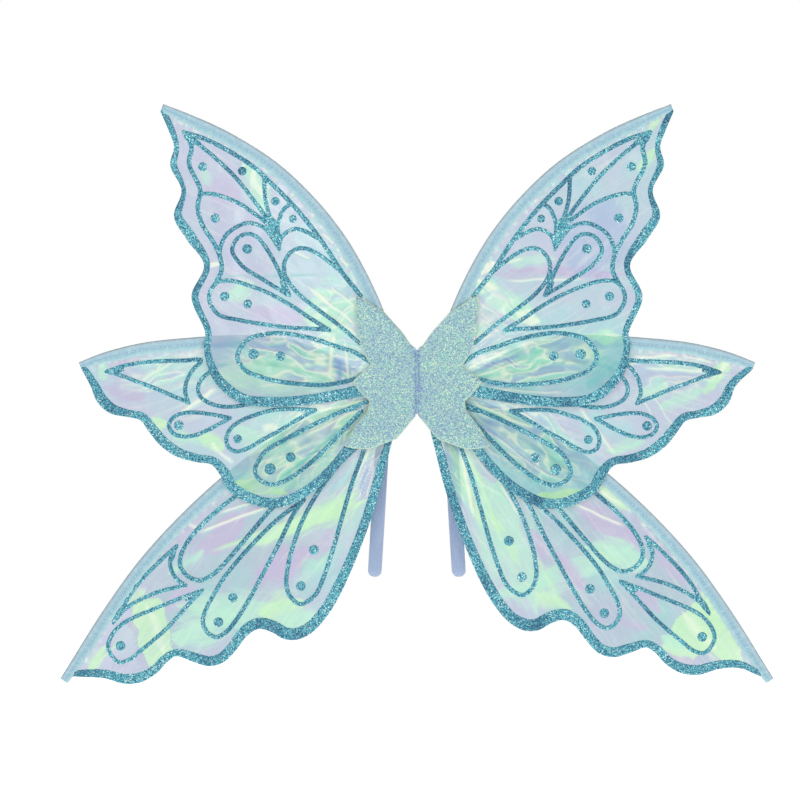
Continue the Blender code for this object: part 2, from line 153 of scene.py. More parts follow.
# ---------------------------------------------------------------------------------------------
# Glitter drawing on the film: each vein is (line width, points); each dot (outwards, up, radius)
# ---------------------------------------------------------------------------------------------
VEIN = 3.3
VEINS = {
    "upper": [
        (3.7, [(186, 199), (180, 187.5), (182, 174), (173, 153), (175, 139.5), (171.5, 125.5),
               (163, 112), (157.5, 100.5), (156, 89), (161, 78)]),
        (3.7, [(186, 199), (170, 194), (150, 184), (130, 171), (116, 158), (100, 142),
               (90, 130.5), (80, 117.5), (70, 103), (60, 87.5), (45, 68.5)]),
        (VEIN, [(180, 194), (161.5, 179), (144.5, 162.5), (130.5, 145), (119.5, 129),
                (110, 106.5)]),
        (VEIN, [(173, 150), (162.5, 149.7), (143.5, 143), (127, 132), (118, 124), (110, 106.5)]),
        (VEIN, [(157.5, 103), (156, 110), (151.5, 118), (136, 126.5), (122.5, 123),
                (110, 106.5)]),
        (VEIN, [(122, 163.5), (121, 145.5), (116.5, 128.5), (110, 106.5)]),
        (VEIN, [(101, 142), (106.5, 137.3), (110.8, 126.5), (110.5, 111.5)]),
        (VEIN, [(110, 109), (107.5, 116), (98, 121.8), (90, 120.3), (78.5, 114)]),
        (VEIN, [(102, 69), (105.5, 77.5), (113, 94), (122, 109), (128.5, 116), (135.5, 118),
                (143.5, 114), (147.5, 104.5), (138.5, 91.5), (125, 82.8), (114, 76), (102, 69)]),
        (VEIN, [(70, 41), (85, 50.5), (100, 60.5), (116, 69.5), (132, 76), (148, 80.5),
                (160, 79), (166, 67), (159, 54), (141, 49), (121, 45.5), (100, 43), (80, 42),
                (70, 41)]),
        (3.6, [(38, 16), (50, 23.5), (64, 28), (78, 32.9), (92, 36.4), (108, 38.8),
               (122, 37.7), (135, 33.5), (143.5, 20), (136.5, 8.7), (127, 4.7), (116, 1.3),
               (104, -0.8), (90, -2.1), (76, -2.7), (62, -1), (50, 2)]),
        (VEIN, [(60.5, 87.5), (65, 91.5), (80, 102.5), (88, 106), (95, 106.3), (101.5, 102.5),
                (106, 94), (105, 84.5), (96, 71.5), (79, 57.5), (61, 44), (46, 30.5)]),
    ],
    "middle": [
        (VEIN, [(180, -17), (181.5, -14), (183, -8), (181.5, 1), (177, 9), (170, 16.8),
                (185, 16.7), (200, 16.3), (216, 15.3), (232, 12.5), (245.5, 8)]),
        (VEIN, [(180, -17), (193, -11.5), (207, -5.5), (222, 0), (235, 5), (245.5, 8)]),
        (VEIN, [(60, -1), (82, 6), (95, 9.5), (110, 13), (125, 15.5), (138, 16), (148, 14.5),
                (157, 11.5), (164, 7), (170.5, 1), (172.7, -6), (170.5, -12.5), (163, -17.5),
                (154, -20), (143, -20), (132, -18), (115, -14), (95, -9), (75, -4)]),
        (VEIN, [(147, -29.2), (164, -26), (175, -24.8), (185, -25.5), (192.5, -29), (196, -35),
                (193, -41), (185, -44), (175, -43), (164, -38.5), (147, -29.2)]),
        (VEIN, [(79, -23), (100, -22), (113, -23), (126, -26.5), (137.5, -31), (146.5, -37.5),
                (150, -46), (148, -53), (142, -56), (133, -53.5), (120, -46), (107, -39),
                (94, -31), (79, -23)]),
        (3.6, [(38, -16.5), (62, -26), (77, -33), (92, -40.5), (106, -48), (117, -54.5),
               (124, -63), (127, -71), (124, -78), (114, -82.5), (103, -79.5), (90, -71),
               (77, -60), (65, -48), (52, -34), (42, -24)]),
    ],
    "lower": [
        (3.6, [(45, -33), (70, -38), (104, -59.5), (132, -81.5), (152.5, -97), (172, -115.5),
               (180, -126), (184.8, -136), (185, -144.5), (180, -151.5), (171, -155.5),
               (164, -154), (155, -147.5), (135, -125), (115, -101.5), (88, -73), (58, -45)]),
        (VEIN, [(188, -128), (195, -134), (206, -144.5), (216, -155), (224, -165), (231, -177),
                (238, -188)]),
        (VEIN, [(238, -188), (230, -179), (221, -173), (211, -168), (200, -164), (181, -159.5)]),
        (VEIN, [(181, -159.5), (187, -155.5), (192, -148), (193.3, -140), (191, -133),
                (188, -128)]),
        (VEIN, [(168, -164), (180, -168), (195, -174), (210, -180), (223, -185.5),
                (233, -191.5), (240, -199.5), (243, -208), (241, -214.5), (234.5, -221),
                (226, -219), (217, -212), (206, -203), (195, -193), (185, -182), (175, -171),
                (168, -164)]),
        (3.5, [(86, -91), (107.5, -107), (130, -129.5), (149, -152), (158, -166.5),
               (165, -180), (167, -189), (163.5, -197), (156.5, -201), (149, -197.5),
               (141.5, -189), (133, -176), (124, -160), (107, -128), (93.5, -101), (86, -91)]),
        (3.5, [(42, -47), (60, -65), (77.5, -89.5), (89, -112), (97, -136), (99.5, -149),
               (100, -159), (97.5, -167.5), (89.5, -174.5), (82.5, -172), (76, -166),
               (71.5, -156.5), (63.5, -133.5), (55.5, -105.5), (47.5, -78), (39.5, -56),
               (35, -42)]),
    ],
}
# Solid tapering glitter where veins meet: (outwards, up, width) points
VEIN_HEARTS = {
    "upper": [[(119.5, 133, 2.5), (115.5, 124, 10), (112.5, 116, 7.5), (110, 105, 2)],
              [(186, 199, 2), (181, 193, 6.5), (174, 190.5, 3)],
              [(104, 70, 4), (108, 79, 3)]],
    "middle": [[(247, 7.8, 2), (240, 9, 5), (233, 9.3, 2.5)],
               [(40, -17.5, 2.5), (46, -20.5, 4.6), (54, -23.5, 3)]],
    "lower": [[(239, -190, 2), (234, -182, 5.2), (229, -176, 2.6)],
              [(167, -163, 2), (173, -166.5, 5), (180, -171, 2.5)],
              [(190, -129, 2.5), (191, -134, 4.6), (192, -139, 2.8)]],
}
DOTS = {
    "upper": [(171, 171.5, 3.6), (139.5, 168, 3.5), (113, 144, 3.4), (99, 130, 3.2),
              (161, 130.5, 3.7), (135.5, 106, 3.9), (153.5, 68, 3.7), (135, 62, 3.5),
              (130.5, 22, 4.2), (109, 20.5, 3.8)],
    "middle": [(188, -35, 3.9), (141, -46, 3.5), (115, -70, 4.5), (98.5, -60.5, 3.9)],
    "lower": [(233, -208, 3.9), (143, -169.5, 3.8), (154.5, -189, 3.9), (78, -131, 4),
              (88.5, -160, 3.9)],
}

# ---------------------------------------------------------------------------------------------
# Film colours
# ---------------------------------------------------------------------------------------------
FILM_ALPHA = 0.80
FILM_GLOSS = 0.04               # how much the soft reflections add everywhere
# Tints laid on the film: cream is a painted highlight; mist, periwinkle and teal are painted shade;
# the others are the film's own iridescent colours, which are also laid on as painted reflections
# and shade
FILM_TINTS = {
    "mauve": "C8C0DC", "lilac": "C9C4DF", "lavender": "C9CCE2", "haze": "C3D3E0",
    "aqua": "B2DEE0", "mint": "BFEFD6", "lime": "CAF3C8", "cream": "F0F9E6",
    "periwinkle": "A9BEE0", "teal": "8AD2CC", "mist": "9DBAC0",
}
FILM_RANGE = ["lilac", "lavender", "haze", "aqua", "mint", "lime"]
FILM_RANGE_AT = [0.0, 0.25, 0.48, 0.64, 0.82, 1.0]
FILM_BASE = {"upper": (0.42, 0.13), "middle": (0.42, 0.22), "lower": (0.40, 0.24)}

# Broad painted reflections in the film's iridescent tints and cream, and painted shade in mist,
# periwinkle and teal: (tint, centre, half sizes, angle in degrees, strength, edge softness)
SOFT, FIRM, SHARP = 0.9, 0.45, 0.16
PATCHES = {
    ("upper", "right"): [
        ("aqua", (105, 14), (85, 32), 6, 0.85, SOFT),
        ("mint", (96, 14), (56, 15), 10, 0.55, SOFT),
        ("aqua", (160, 42), (16, 12), 0, 0.6, SOFT),
        ("lime", (189, 204), (9, 3.4), 75, 0.8, SOFT),
        ("lime", (183, 177), (12, 4.6), 62, 0.85, SOFT),
        ("mint", (88, 97), (22, 3.6), 4, 0.55, FIRM),
        ("cream", (57, 91), (9, 3.5), 20, 0.8, FIRM),
        ("mauve", (120, 88), (50, 3.6), -2, 0.85, FIRM),
        ("mauve", (78, 86), (22, 3), 3, 0.6, FIRM),
        ("mint", (70, 65), (33, 9), -33, 0.95, FIRM),
        ("cream", (62, 71), (20, 2.6), -30, 0.8, FIRM),
        ("cream", (88, 51), (9, 5), -30, 0.8, FIRM),
        ("mint", (52, 41), (9, 5), 25, 0.8, SOFT),
        ("lilac", (60, 50), (10, 6), 20, 0.5, SOFT),
        ("mint", (150, 36), (16, 4.5), -3, 0.95, FIRM),
        ("cream", (154, 37.5), (9, 1.6), -3, 0.8, FIRM),
        ("mint", (100, 16), (44, 12), 8, 0.55, SOFT),
        ("periwinkle", (80, 19), (16, 5), 30, 0.5, SOFT),
        ("periwinkle", (142, 116), (34, 26), 60, 0.5, SOFT),
        ("teal", (150, 6), (18, 10), 40, 0.35, SOFT),
    ],
    ("upper", "left"): [
        ("aqua", (105, 12), (85, 32), -2, 0.4, SOFT),
        ("mint", (112, 4), (60, 16), 0, 0.5, SOFT),
        ("lilac", (150, 100), (34, 60), 10, 0.5, SOFT),
        ("cream", (112, 8), (58, 18), 0, 0.36, SOFT),
        ("mint", (129, 153), (23, 8), 69, 0.9, SOFT),
        ("cream", (128, 158), (12, 3), 69, 0.7, SOFT),
        ("mint", (168, 163), (8, 4), 75, 0.6, SOFT),
        ("mauve", (96, 150), (30, 3.4), 47, 0.85, FIRM),
        ("mauve", (52, 92), (20, 3), 58, 0.85, FIRM),
        ("lilac", (156, 152), (14, 14), 0, 0.6, SOFT),
        ("cream", (162, 93), (9, 2.6), -8, 0.85, FIRM),
        ("mint", (141, 72), (14, 7), -30, 0.8, SOFT),
        ("mauve", (114, 55), (26, 8), 10, 0.7, SOFT),
        ("mint", (68, 56), (26, 22), 0, 0.9, FIRM),
        ("cream", (76, 68), (12, 3), 35, 0.8, FIRM),
        ("lilac", (52, 46), (7, 4), 35, 0.6, SOFT),
        ("periwinkle", (146, 29), (26, 4), 2, 0.5, SOFT),
        ("mint", (100, 12), (40, 12), -5, 0.45, SOFT),
        ("cream", (70, 36), (14, 4), 60, 0.6, FIRM),
        ("periwinkle", (63, 12), (3.5, 12), 0, 0.8, SOFT),
        ("teal", (140, 2), (22, 9), 30, 0.12, SOFT),
    ],
    ("middle", "right"): [
        ("aqua", (98, -52), (72, 34), -38, 0.8, SOFT),
        ("mauve", (206, 25), (28, 3.4), -9, 0.85, FIRM),
        ("mint", (206, 11.5), (32, 3), -5, 0.9, FIRM),
        ("lilac", (200, 5), (20, 3.6), -8, 0.7, FIRM),
        ("mint", (190, -8), (14, 6), 20, 0.7, SOFT),
        ("lime", (240, 4), (5, 16), -35, 0.95, FIRM),
        ("cream", (245, 11), (2.4, 9), -30, 0.85, FIRM),
        ("mint", (212, -14), (20, 6), 20, 0.7, SOFT),
        ("mint", (168, -52), (16, 6), 10, 0.8, SOFT),
        ("lilac", (120, -36), (22, 8), -30, 0.7, SOFT),
        ("lilac", (152, -2), (14, 9), 0, 0.5, SOFT),
        ("lime", (118, -90), (22, 4.5), 6, 0.9, FIRM),
        ("mint", (95, -60), (34, 10), -38, 0.6, SOFT),
        ("periwinkle", (72, -44), (20, 4), -40, 0.6, SOFT),
        ("aqua", (140, -76), (12, 8), 40, 0.6, SOFT),
        ("teal", (104, -62), (16, 5), -38, 0.5, SOFT),
    ],
    ("middle", "left"): [
        ("aqua", (98, -52), (72, 36), -38, 0.4, SOFT),
        ("mint", (94, -52), (60, 30), -38, 0.8, SOFT),
        ("cream", (94, -52), (50, 22), -38, 0.40, SOFT),
        ("mint", (251, 8), (5, 8), 10, 0.9, FIRM),
        ("mint", (211, 6), (12, 8), 30, 0.75, SOFT),
        ("mauve", (234, 15), (15, 4), -12, 0.8, SOFT),
        ("mauve", (236, -8), (18, 6), 10, 0.75, SOFT),
        ("haze", (200, -18), (16, 8), 0, 0.6, SOFT),
        ("lime", (208, -34), (8, 6), 20, 0.9, FIRM),
        ("mint", (176, -46), (22, 6), 8, 0.85, SOFT),
        ("lime", (163, -48), (12, 5), 25, 0.9, FIRM),
        ("mint", (136, -42), (16, 7), 25, 0.8, SOFT),
        ("cream", (116, -37), (9, 4.5), 20, 0.7, SOFT),
        ("teal", (100, -60), (34, 5), -38, 0.2, SOFT),
        ("lime", (126, -84), (22, 5), 10, 0.85, FIRM),
        ("cream", (70, -36), (20, 2.6), -38, 0.7, FIRM),
        ("mint", (60, -40), (24, 7), -40, 0.7, SOFT),
    ],
    ("lower", "right"): [
        ("mist", (150, -150), (130, 62), -48, 0.32, SOFT),
        ("mint", (72, -130), (64, 24), -68, 0.75, SOFT),
        ("mint", (120, -153), (64, 11), 20, 0.75, SOFT),
        ("haze", (84, -150), (22, 10), -60, 0.3, SOFT),
        ("lilac", (58, -70), (12, 8), -60, 0.7, SOFT),
        ("lime", (38, -80), (32, 6), -68, 0.85, SOFT),
        ("lime", (60, -112), (14, 8), -40, 0.75, SOFT),
        ("lime", (76, -138), (12, 4), -60, 0.6, SOFT),
        ("mauve", (98, -130), (16, 5), -62, 0.8, SOFT),
        ("mauve", (109, -106), (9, 5), -50, 0.7, SOFT),
        ("mauve", (123, -152), (17, 7), -55, 0.85, SOFT),
        ("lime", (108, -174), (16, 8), -25, 0.8, SOFT),
        ("mauve", (151, -113), (34, 11), -34, 0.95, FIRM),
        ("mint", (160, -139), (26, 11), -14, 0.9, SOFT),
        ("lime", (158, -93), (17, 5), -38, 0.85, SOFT),
        ("mauve", (187, -125), (10, 4), -48, 0.8, SOFT),
        ("mauve", (203, -147), (20, 7), -52, 0.85, SOFT),
        ("lilac", (186, -176), (14, 8), -40, 0.8, SOFT),
        ("mauve", (172, -194), (16, 5), -10, 0.7, SOFT),
        ("lime", (222, -201), (17, 26), -40, 0.9, SHARP),
        ("lime", (243, -211), (26, 9), -40, 0.9, FIRM),
        ("lime", (245, -196), (34, 5), -59, 0.95, FIRM),
        ("cream", (226, -200), (20, 5), -48, 0.55, SOFT),
        ("mint", (206, -208), (12, 6), -20, 0.85, SOFT),
        ("mauve", (205, -221), (18, 4), -12, 0.85, SOFT),
        ("periwinkle", (44, -78), (10, 2.5), -68, 0.5, SOFT),
    ],
    ("lower", "left"): [
        ("mist", (150, -150), (130, 62), -48, 0.32, SOFT),
        ("mint", (125, -188), (68, 19), 8, 0.7, SOFT),
        ("mint", (70, -120), (46, 18), -60, 0.4, SOFT),
        ("lime", (92, -114), (54, 8), -21, 0.95, SOFT),
        ("mauve", (157, -124), (28, 10), -40, 0.9, FIRM),
        ("mauve", (107, -147), (30, 11), -32, 0.9, FIRM),
        ("lime", (64, -101), (18, 8), -35, 0.95, SOFT),
        ("mauve", (79, -131), (18, 11), -40, 0.8, SOFT),
        ("mauve", (112, -142), (16, 7), -50, 0.8, SOFT),
        ("lime", (108, -180), (20, 8), -15, 0.9, SOFT),
        ("mint", (170, -196), (28, 14), -20, 0.8, SOFT),
        ("mint", (186, -145), (18, 5), -30, 0.8, SOFT),
        ("mauve", (138, -104), (28, 5), -28, 0.85, SOFT),
        ("lilac", (190, -172), (16, 7), -35, 0.8, SOFT),
        ("lime", (211, -200), (13, 27), -14, 0.85, SHARP),
        ("cream", (209, -200), (24, 4), 70, 0.5, SOFT),
        ("haze", (236, -204), (9, 24), -20, 0.8, FIRM),
        ("lime", (226, -171), (10, 6), -30, 0.8, SOFT),
        ("lime", (256, -222), (12, 6), -50, 0.9, SOFT),
        ("periwinkle", (41, -80), (12, 3.5), -72, 0.9, SOFT),
        ("mint", (92, -190), (20, 8), 0, 0.7, SOFT),
        ("mauve", (196, -128), (24, 3), -42, 0.7, SOFT),
    ],
}

# Creases with painted light along them: a painted highlight (cream, lime, mint) on raised ones and
# painted shade (mauve, periwinkle, teal) in sunk ones: (tint, start, end, half width, height,
# strength)
CREASES = {
    ("upper", "right"): [
        ("cream", (68, 80.5), (136, 82), 0.8, 0.20, 0.8),
        ("mauve", (100, 86), (168, 84.5), 1.2, -0.15, 0.5),
        ("cream", (58, 92), (86, 99), 0.9, 0.25, 0.8),
        ("cream", (36, 8), (76, 27), 0.9, 0.45, 0.9),
        ("cream", (76, 27), (120, 36), 0.8, 0.35, 0.7),
        ("cream", (44, 4), (92, 18), 0.8, 0.45, 0.8),
        ("periwinkle", (40, 6), (84, 22), 1.6, -0.35, 0.7),
        ("cream", (92, 18), (124, 26), 0.7, 0.25, 0.6),
        ("cream", (60, -6), (120, -9), 0.8, 0.25, 0.6),
        ("cream", (36, 22), (62, 40), 0.9, 0.35, 0.7),
    ],
    ("upper", "left"): [
        ("cream", (48, 44), (84, 74), 1.0, 0.45, 0.9),
        ("cream", (46, 36), (76, 56), 0.9, 0.40, 0.8),
        ("cream", (48, 58), (70, 76), 0.8, 0.35, 0.8),
        ("teal", (72, 84), (168, 84), 0.8, -0.15, 0.45),
        ("cream", (84, 98), (100, 104), 0.8, 0.20, 0.8),
        ("cream", (66, 110), (76, 118), 0.9, 0.25, 0.8),
        ("cream", (54, 92), (62, 100), 0.9, 0.25, 0.8),
        ("cream", (70, 0), (66, 40), 1.3, 0.40, 0.8),
        ("cream", (54, -2), (58, 34), 1.0, 0.40, 0.7),
        ("periwinkle", (62, -6), (62, 20), 2.2, -0.35, 0.8),
        ("cream", (76, 2), (130, -4), 0.8, 0.25, 0.5),
    ],
    ("middle", "right"): [
        ("cream", (172, 20), (212, 21), 0.9, 0.30, 0.9),
        ("cream", (212, 21), (238, 15), 0.8, 0.25, 0.8),
        ("cream", (180, 11), (236, 8), 0.9, 0.20, 0.8),
        ("cream", (128, -18), (160, -60), 1.3, 0.30, 0.7),
        ("cream", (176, -8), (196, -40), 0.7, 0.18, 0.5),
        ("cream", (184, -6), (206, -36), 0.6, 0.15, 0.5),
        ("cream", (42, -16), (92, -36), 0.9, 0.45, 0.9),
        ("mint", (40, -22), (84, -56), 0.9, 0.45, 0.8),
        ("periwinkle", (50, -30), (98, -72), 2.2, -0.35, 0.7),
        ("cream", (60, -42), (108, -78), 0.8, 0.35, 0.7),
    ],
    ("middle", "left"): [
        ("cream", (160, -4), (192, -28), 1.7, 0.35, 0.95),
        ("cream", (192, 18), (222, 0), 0.9, 0.25, 0.7),
        ("cream", (36, -14), (80, -24), 0.9, 0.45, 0.9),
        ("cream", (42, -20), (92, -44), 0.9, 0.45, 0.9),
        ("teal", (52, -32), (112, -80), 1.6, -0.35, 0.7),
        ("cream", (84, -48), (122, -72), 0.9, 0.30, 0.7),
        ("cream", (146, -66), (166, -48), 1.2, 0.25, 0.8),
        ("teal", (88, -40), (112, -52), 1.0, -0.25, 0.6),
    ],
    ("lower", "right"): [
        ("cream", (124, -97), (168, -116), 0.9, 0.35, 0.95),
        ("cream", (146, -86), (164, -98), 1.4, 0.30, 0.8),
        ("cream", (34, -52), (46, -110), 1.2, 0.45, 0.9),
        ("lime", (40, -52), (70, -132), 1.4, 0.40, 0.8),
        ("cream", (52, -58), (84, -110), 0.8, 0.35, 0.6),
        ("lime", (96, -140), (116, -180), 1.6, 0.20, 0.6),
        ("lime", (138, -130), (160, -146), 1.2, 0.20, 0.6),
        ("mint", (180, -100), (236, -168), 1.2, 0.25, 0.7),
    ],
    ("lower", "left"): [
        ("cream", (114, -98), (178, -122), 1.0, 0.35, 0.95),
        ("cream", (118, -92), (160, -106), 0.8, 0.30, 0.8),
        ("cream", (36, -50), (58, -94), 1.1, 0.45, 0.9),
        ("lime", (64, -98), (170, -138), 1.6, 0.30, 0.8),
        ("cream", (30, -64), (40, -110), 1.0, 0.40, 0.8),
        ("cream", (172, -118), (186, -112), 1.2, 0.25, 0.7),
        ("lime", (236, -204), (266, -236), 1.3, 0.25, 0.7),
    ],
}
# Crumpled areas: (centre, half sizes, angle in degrees, strength)
CRUMPLES = {
    "upper": [((92, 17), (66, 27), 8, 1.0), ((62, 58), (34, 24), -35, 0.6)],
    "middle": [((88, -46), (66, 34), -38, 0.9), ((196, 8), (70, 20), -6, 0.6)],
    "lower": [((42, -76), (50, 20), -68, 0.3)],
}
# Painted light and shade on a crumple's folds, a mint reflection then teal shade down one flank,
# haze then periwinkle shade down the other: (tint, strength, height where it starts, height where
# it is full)
FOLD_LIGHT_AND_SHADE = [("mint", 0.50, 0.05, 0.35), ("teal", 0.26, 0.35, 0.8), ("haze", 0.5, -0.05, -0.3),
              ("periwinkle", 0.45, -0.3, -0.7)]
GLINT_STREAK_ANGLE = {"upper": 32, "middle": -18, "lower": -52}    # which way the film's painted glint streaks run
GATHER_PITCH = 12.5             # the film's gathers where it is sewn into the casing
GATHER_SHINE = {"upper": 0.60, "middle": 0.5, "lower": 0.4}
# How far each film was slid along its wing, towards the tip, when it was sewn to its wire
FILM_SLIP = {"upper": {"left": 0.0, "right": 0.0},
             "middle": {"left": 2.5, "right": -4.0},
             "lower": {"left": 6.0, "right": -5.5}}
ROOT_REACH = {"upper": 62.0, "middle": 75.0, "lower": 85.0}   # how far the root's folds run
FAR_FOLDS = {"upper": 0.25, "middle": 0.5, "lower": 0.5}      # how strong the faint ones are
RUFFLE_HEIGHT = 0.42            # beside the casing
CRUMPLE_HEIGHT = 0.42
CREASE_SPREAD = 1.5             # a crease's slope is this much wider than its highlight
RELIEF_LIMIT = 1.25

# Mesh resolution
FILM_GRID = 0.9
GLITTER_GRID = 0.72
PAD_GRID = 0.85
FABRIC_GRID = 1.1
CURVE_STEPS = 12

GLITTER_LIFT = 0.42
GLITTER_SKIN = 0.14
GRAIN_HEIGHT = 0.15
PAD_GRAIN = 0.13
PAD_FORWARD_LIMIT = 0.45


# ---------------------------------------------------------------------------------------------
# Curves, fields and noise
# ---------------------------------------------------------------------------------------------
def smooth_curve(points, per_span=CURVE_STEPS):
    """Points along the centripetal Catmull-Rom curve that passes through the given points."""
    given = np.array(points, float)
    given = np.vstack([2 * given[0] - given[1], given, 2 * given[-1] - given[-2]])
    curve = []
    for before, start, end, after in zip(given, given[1:], given[2:], given[3:]):
        into = np.linalg.norm(start - before) ** 0.5
        along = np.linalg.norm(end - start) ** 0.5
        out = np.linalg.norm(after - end) ** 0.5
        leave = (start - before) / into - (end - before) / (into + along) + (end - start) / along
        arrive = (end - start) / along - (after - start) / (along + out) + (after - end) / out
        for at in np.arange(per_span) / per_span:
            rest = 1 - at
            curve.append(rest * rest * (1 + 2 * at) * start + at * at * (3 - 2 * at) * end
                         + along * at * rest * (rest * leave - at * arrive))
    curve.append(given[-2])
    return np.array(curve)


def lengths_along(line):
    steps = np.linalg.norm(np.diff(line[:, :2], axis=0), axis=1)
    return np.concatenate([[0.0], np.cumsum(steps)])


def respaced(line, step):
    """The same line with points a step apart."""
    along = lengths_along(line)
    at = np.linspace(0, along[-1], max(2, int(round(along[-1] / step)) + 1))
    return np.stack([np.interp(at, along, column) for column in line.T], axis=1)


def inward_normals(line):
    """Unit normals on the right of the line, which is the film's side."""
    along = np.gradient(line[:, :2], axis=0)
    along /= np.linalg.norm(along, axis=1)[:, None]
    return np.stack([along[:, 1], -along[:, 0]], axis=1)


def casing_widths(line, tip_width):
    to_tip = lengths_along(line)[-1] - lengths_along(line)
    return tip_width + (CASING_WIDTH - tip_width) * np.minimum(1, to_tip / CASING_TIP_TAPER)


def smoothstep(low, high, value):
    share = np.clip((value - low) / (high - low), 0, 1)
    return share * share * (3 - 2 * share)


def softly_positive(value):
    """The size of a value, rounded off where it passes through nothing."""
    return np.sqrt(value * value + 0.015)


NOISE_TABLE = 64


def noise(x, y, seed):
    """Smooth noise from -1 to 1 whose features are one unit across."""
    table = np.random.default_rng(seed).uniform(-1, 1, (NOISE_TABLE, NOISE_TABLE))
    low_x, low_y = np.floor(x), np.floor(y)
    share_x, share_y = x - low_x, y - low_y
    share_x = share_x ** 3 * (share_x * (6 * share_x - 15) + 10)
    share_y = share_y ** 3 * (share_y * (6 * share_y - 15) + 10)
    ix, iy = low_x.astype(int) % NOISE_TABLE, low_y.astype(int) % NOISE_TABLE
    jx, jy = (ix + 1) % NOISE_TABLE, (iy + 1) % NOISE_TABLE
    near = table[ix, iy] * (1 - share_x) + table[jx, iy] * share_x
    far = table[ix, jy] * (1 - share_x) + table[jx, jy] * share_x
    return near * (1 - share_y) + far * share_y


def nearest_on(points, line):
    """Distance from each point to the line, and how far along the line its nearest point is."""
    along = lengths_along(line)
    best = np.full(len(points), np.inf)
    where = np.zeros(len(points))
    for index, (start, end) in enumerate(zip(line, line[1:])):
        run = end - start
        length_squared = max(run @ run, 1e-12)
        share = np.clip((points - start) @ run / length_squared, 0, 1)
        distance = np.linalg.norm(points - start - share[:, None] * run, axis=1)
        nearer = distance < best
        best[nearer] = distance[nearer]
        where[nearer] = along[index] + share[nearer] * length_squared ** 0.5
    return best, where


class Canvas:
    """A grid on which flat shapes are drawn as signed distances, positive inside."""

    FAR = 4.0

    def __init__(self, outline, spacing):
        low = outline.min(axis=0) - self.FAR
        high = outline.max(axis=0) + self.FAR
        self.spacing = spacing
        self.low = low
        counts = np.ceil((high - low) / spacing).astype(int) + 1
        self.u, self.z = np.meshgrid(low[0] + spacing * np.arange(counts[0]),
                                     low[1] + spacing * np.arange(counts[1]), indexing="ij")
        self.outline = outline
        self.edge_field = self.signed_distance(outline)
        self.field = np.full(self.u.shape, -self.FAR)

    def stroke(self, field, line, half_widths):
        """Draw a line with round ends and its own half width at each point."""
        ends = zip(line[:-1], line[1:], half_widths[:-1], half_widths[1:])
        for start, end, start_half, end_half in ends:
            reach = max(start_half, end_half) + self.FAR
            first = np.floor((np.minimum(start, end) - reach - self.low) / self.spacing)
            last = np.ceil((np.maximum(start, end) + reach - self.low) / self.spacing)
            first = np.maximum(first.astype(int), 0)
            window = (slice(first[0], int(last[0]) + 1), slice(first[1], int(last[1]) + 1))
            u, z = self.u[window] - start[0], self.z[window] - start[1]
            run = end - start
            share = np.clip((u * run[0] + z * run[1]) / max(run @ run, 1e-12), 0, 1)
            distance = np.hypot(u - share * run[0], z - share * run[1])
            inside = start_half + (end_half - start_half) * share - distance
            field[window] = np.maximum(field[window], inside)

    def signed_distance(self, outline):
        """Distance to a closed outline, positive inside it and held to FAR away from it."""
        closed = np.vstack([outline, outline[:1]])
        field = np.full(self.u.shape, -self.FAR)
        self.stroke(field, closed, np.zeros(len(closed)))
        inside = np.zeros(self.u.shape, bool)
        for (start_u, start_z), (end_u, end_z) in zip(closed, closed[1:]):
            if start_z == end_z:
                continue
            crosses = (start_z > self.z) != (end_z > self.z)
            at = (end_u - start_u) * (self.z - start_z) / (end_z - start_z) + start_u
            inside ^= crosses & (self.u < at)
        return np.where(inside, -field, field)

    def draw(self, line, widths):
        line = np.asarray(line, float)
        self.stroke(self.field, line[:, :2], np.broadcast_to(np.asarray(widths) / 2, len(line)))

    def triangles(self):
        """What is drawn inside the outline, as points, triangles and each point's distance in."""
        field = np.minimum(self.field, self.edge_field)
        points = np.stack([self.u.ravel(), self.z.ravel()], axis=1)
        return cut_grid(points, field.ravel(), *self.u.shape)


def filled(outline, spacing):
    """The whole inside of an outline, as Canvas.triangles gives it."""
    canvas = Canvas(outline, spacing)
    canvas.field = canvas.edge_field
    return canvas.triangles()


def cut_grid(points, field, rows, columns):
    """Triangles of a grid where field > 0. Gives points, triangles and each point's field."""
    i, j = np.meshgrid(np.arange(rows - 1), np.arange(columns - 1), indexing="ij")
    a = (i * columns + j).ravel()
    b, c, d = a + columns, a + columns + 1, a + 1
    even = ((i + j) % 2 == 0).ravel()
    first = np.where(even[:, None], np.stack([a, b, c], 1), np.stack([a, b, d], 1))
    second = np.where(even[:, None], np.stack([a, c, d], 1), np.stack([b, c, d], 1))
    all_triangles = np.vstack([first, second])
    inside = field[all_triangles] > 0
    count = inside.sum(axis=1)
    whole = all_triangles[count == 3]

    def turned(triangles, odd):
        """Each triangle turned so that its odd corner comes first."""
        order = (odd.argmax(axis=1)[:, None] + np.arange(3)) % 3
        return np.take_along_axis(triangles, order, axis=1)

    one = turned(all_triangles[count == 1], inside[count == 1])
    two = turned(all_triangles[count == 2], ~inside[count == 2])
    edges = np.sort(np.vstack([one[:, [0, 1]], one[:, [0, 2]], two[:, [0, 1]], two[:, [0, 2]]]), 1)
    unique, index = np.unique(edges, axis=0, return_inverse=True)
    index = index.ravel() + len(points)
    share = field[unique[:, 0]] / (field[unique[:, 0]] - field[unique[:, 1]])
    cuts = points[unique[:, 0]] + share[:, None] * (points[unique[:, 1]] - points[unique[:, 0]])
    n, m = len(one), len(two)
    one_b, one_c, two_b, two_c = np.split(index, [n, 2 * n, 2 * n + m])
    pieces = [whole, np.stack([one[:, 0], one_b, one_c], 1),
              np.stack([two_b, two[:, 1], two[:, 2]], 1), np.stack([two_b, two[:, 2], two_c], 1)]
    triangles = np.vstack(pieces)
    points = np.vstack([points, cuts])
    field = np.concatenate([field, np.zeros(len(cuts))])
    used, triangles = np.unique(triangles, return_inverse=True)
    return points[used], triangles.reshape(-1, 3), field[used]


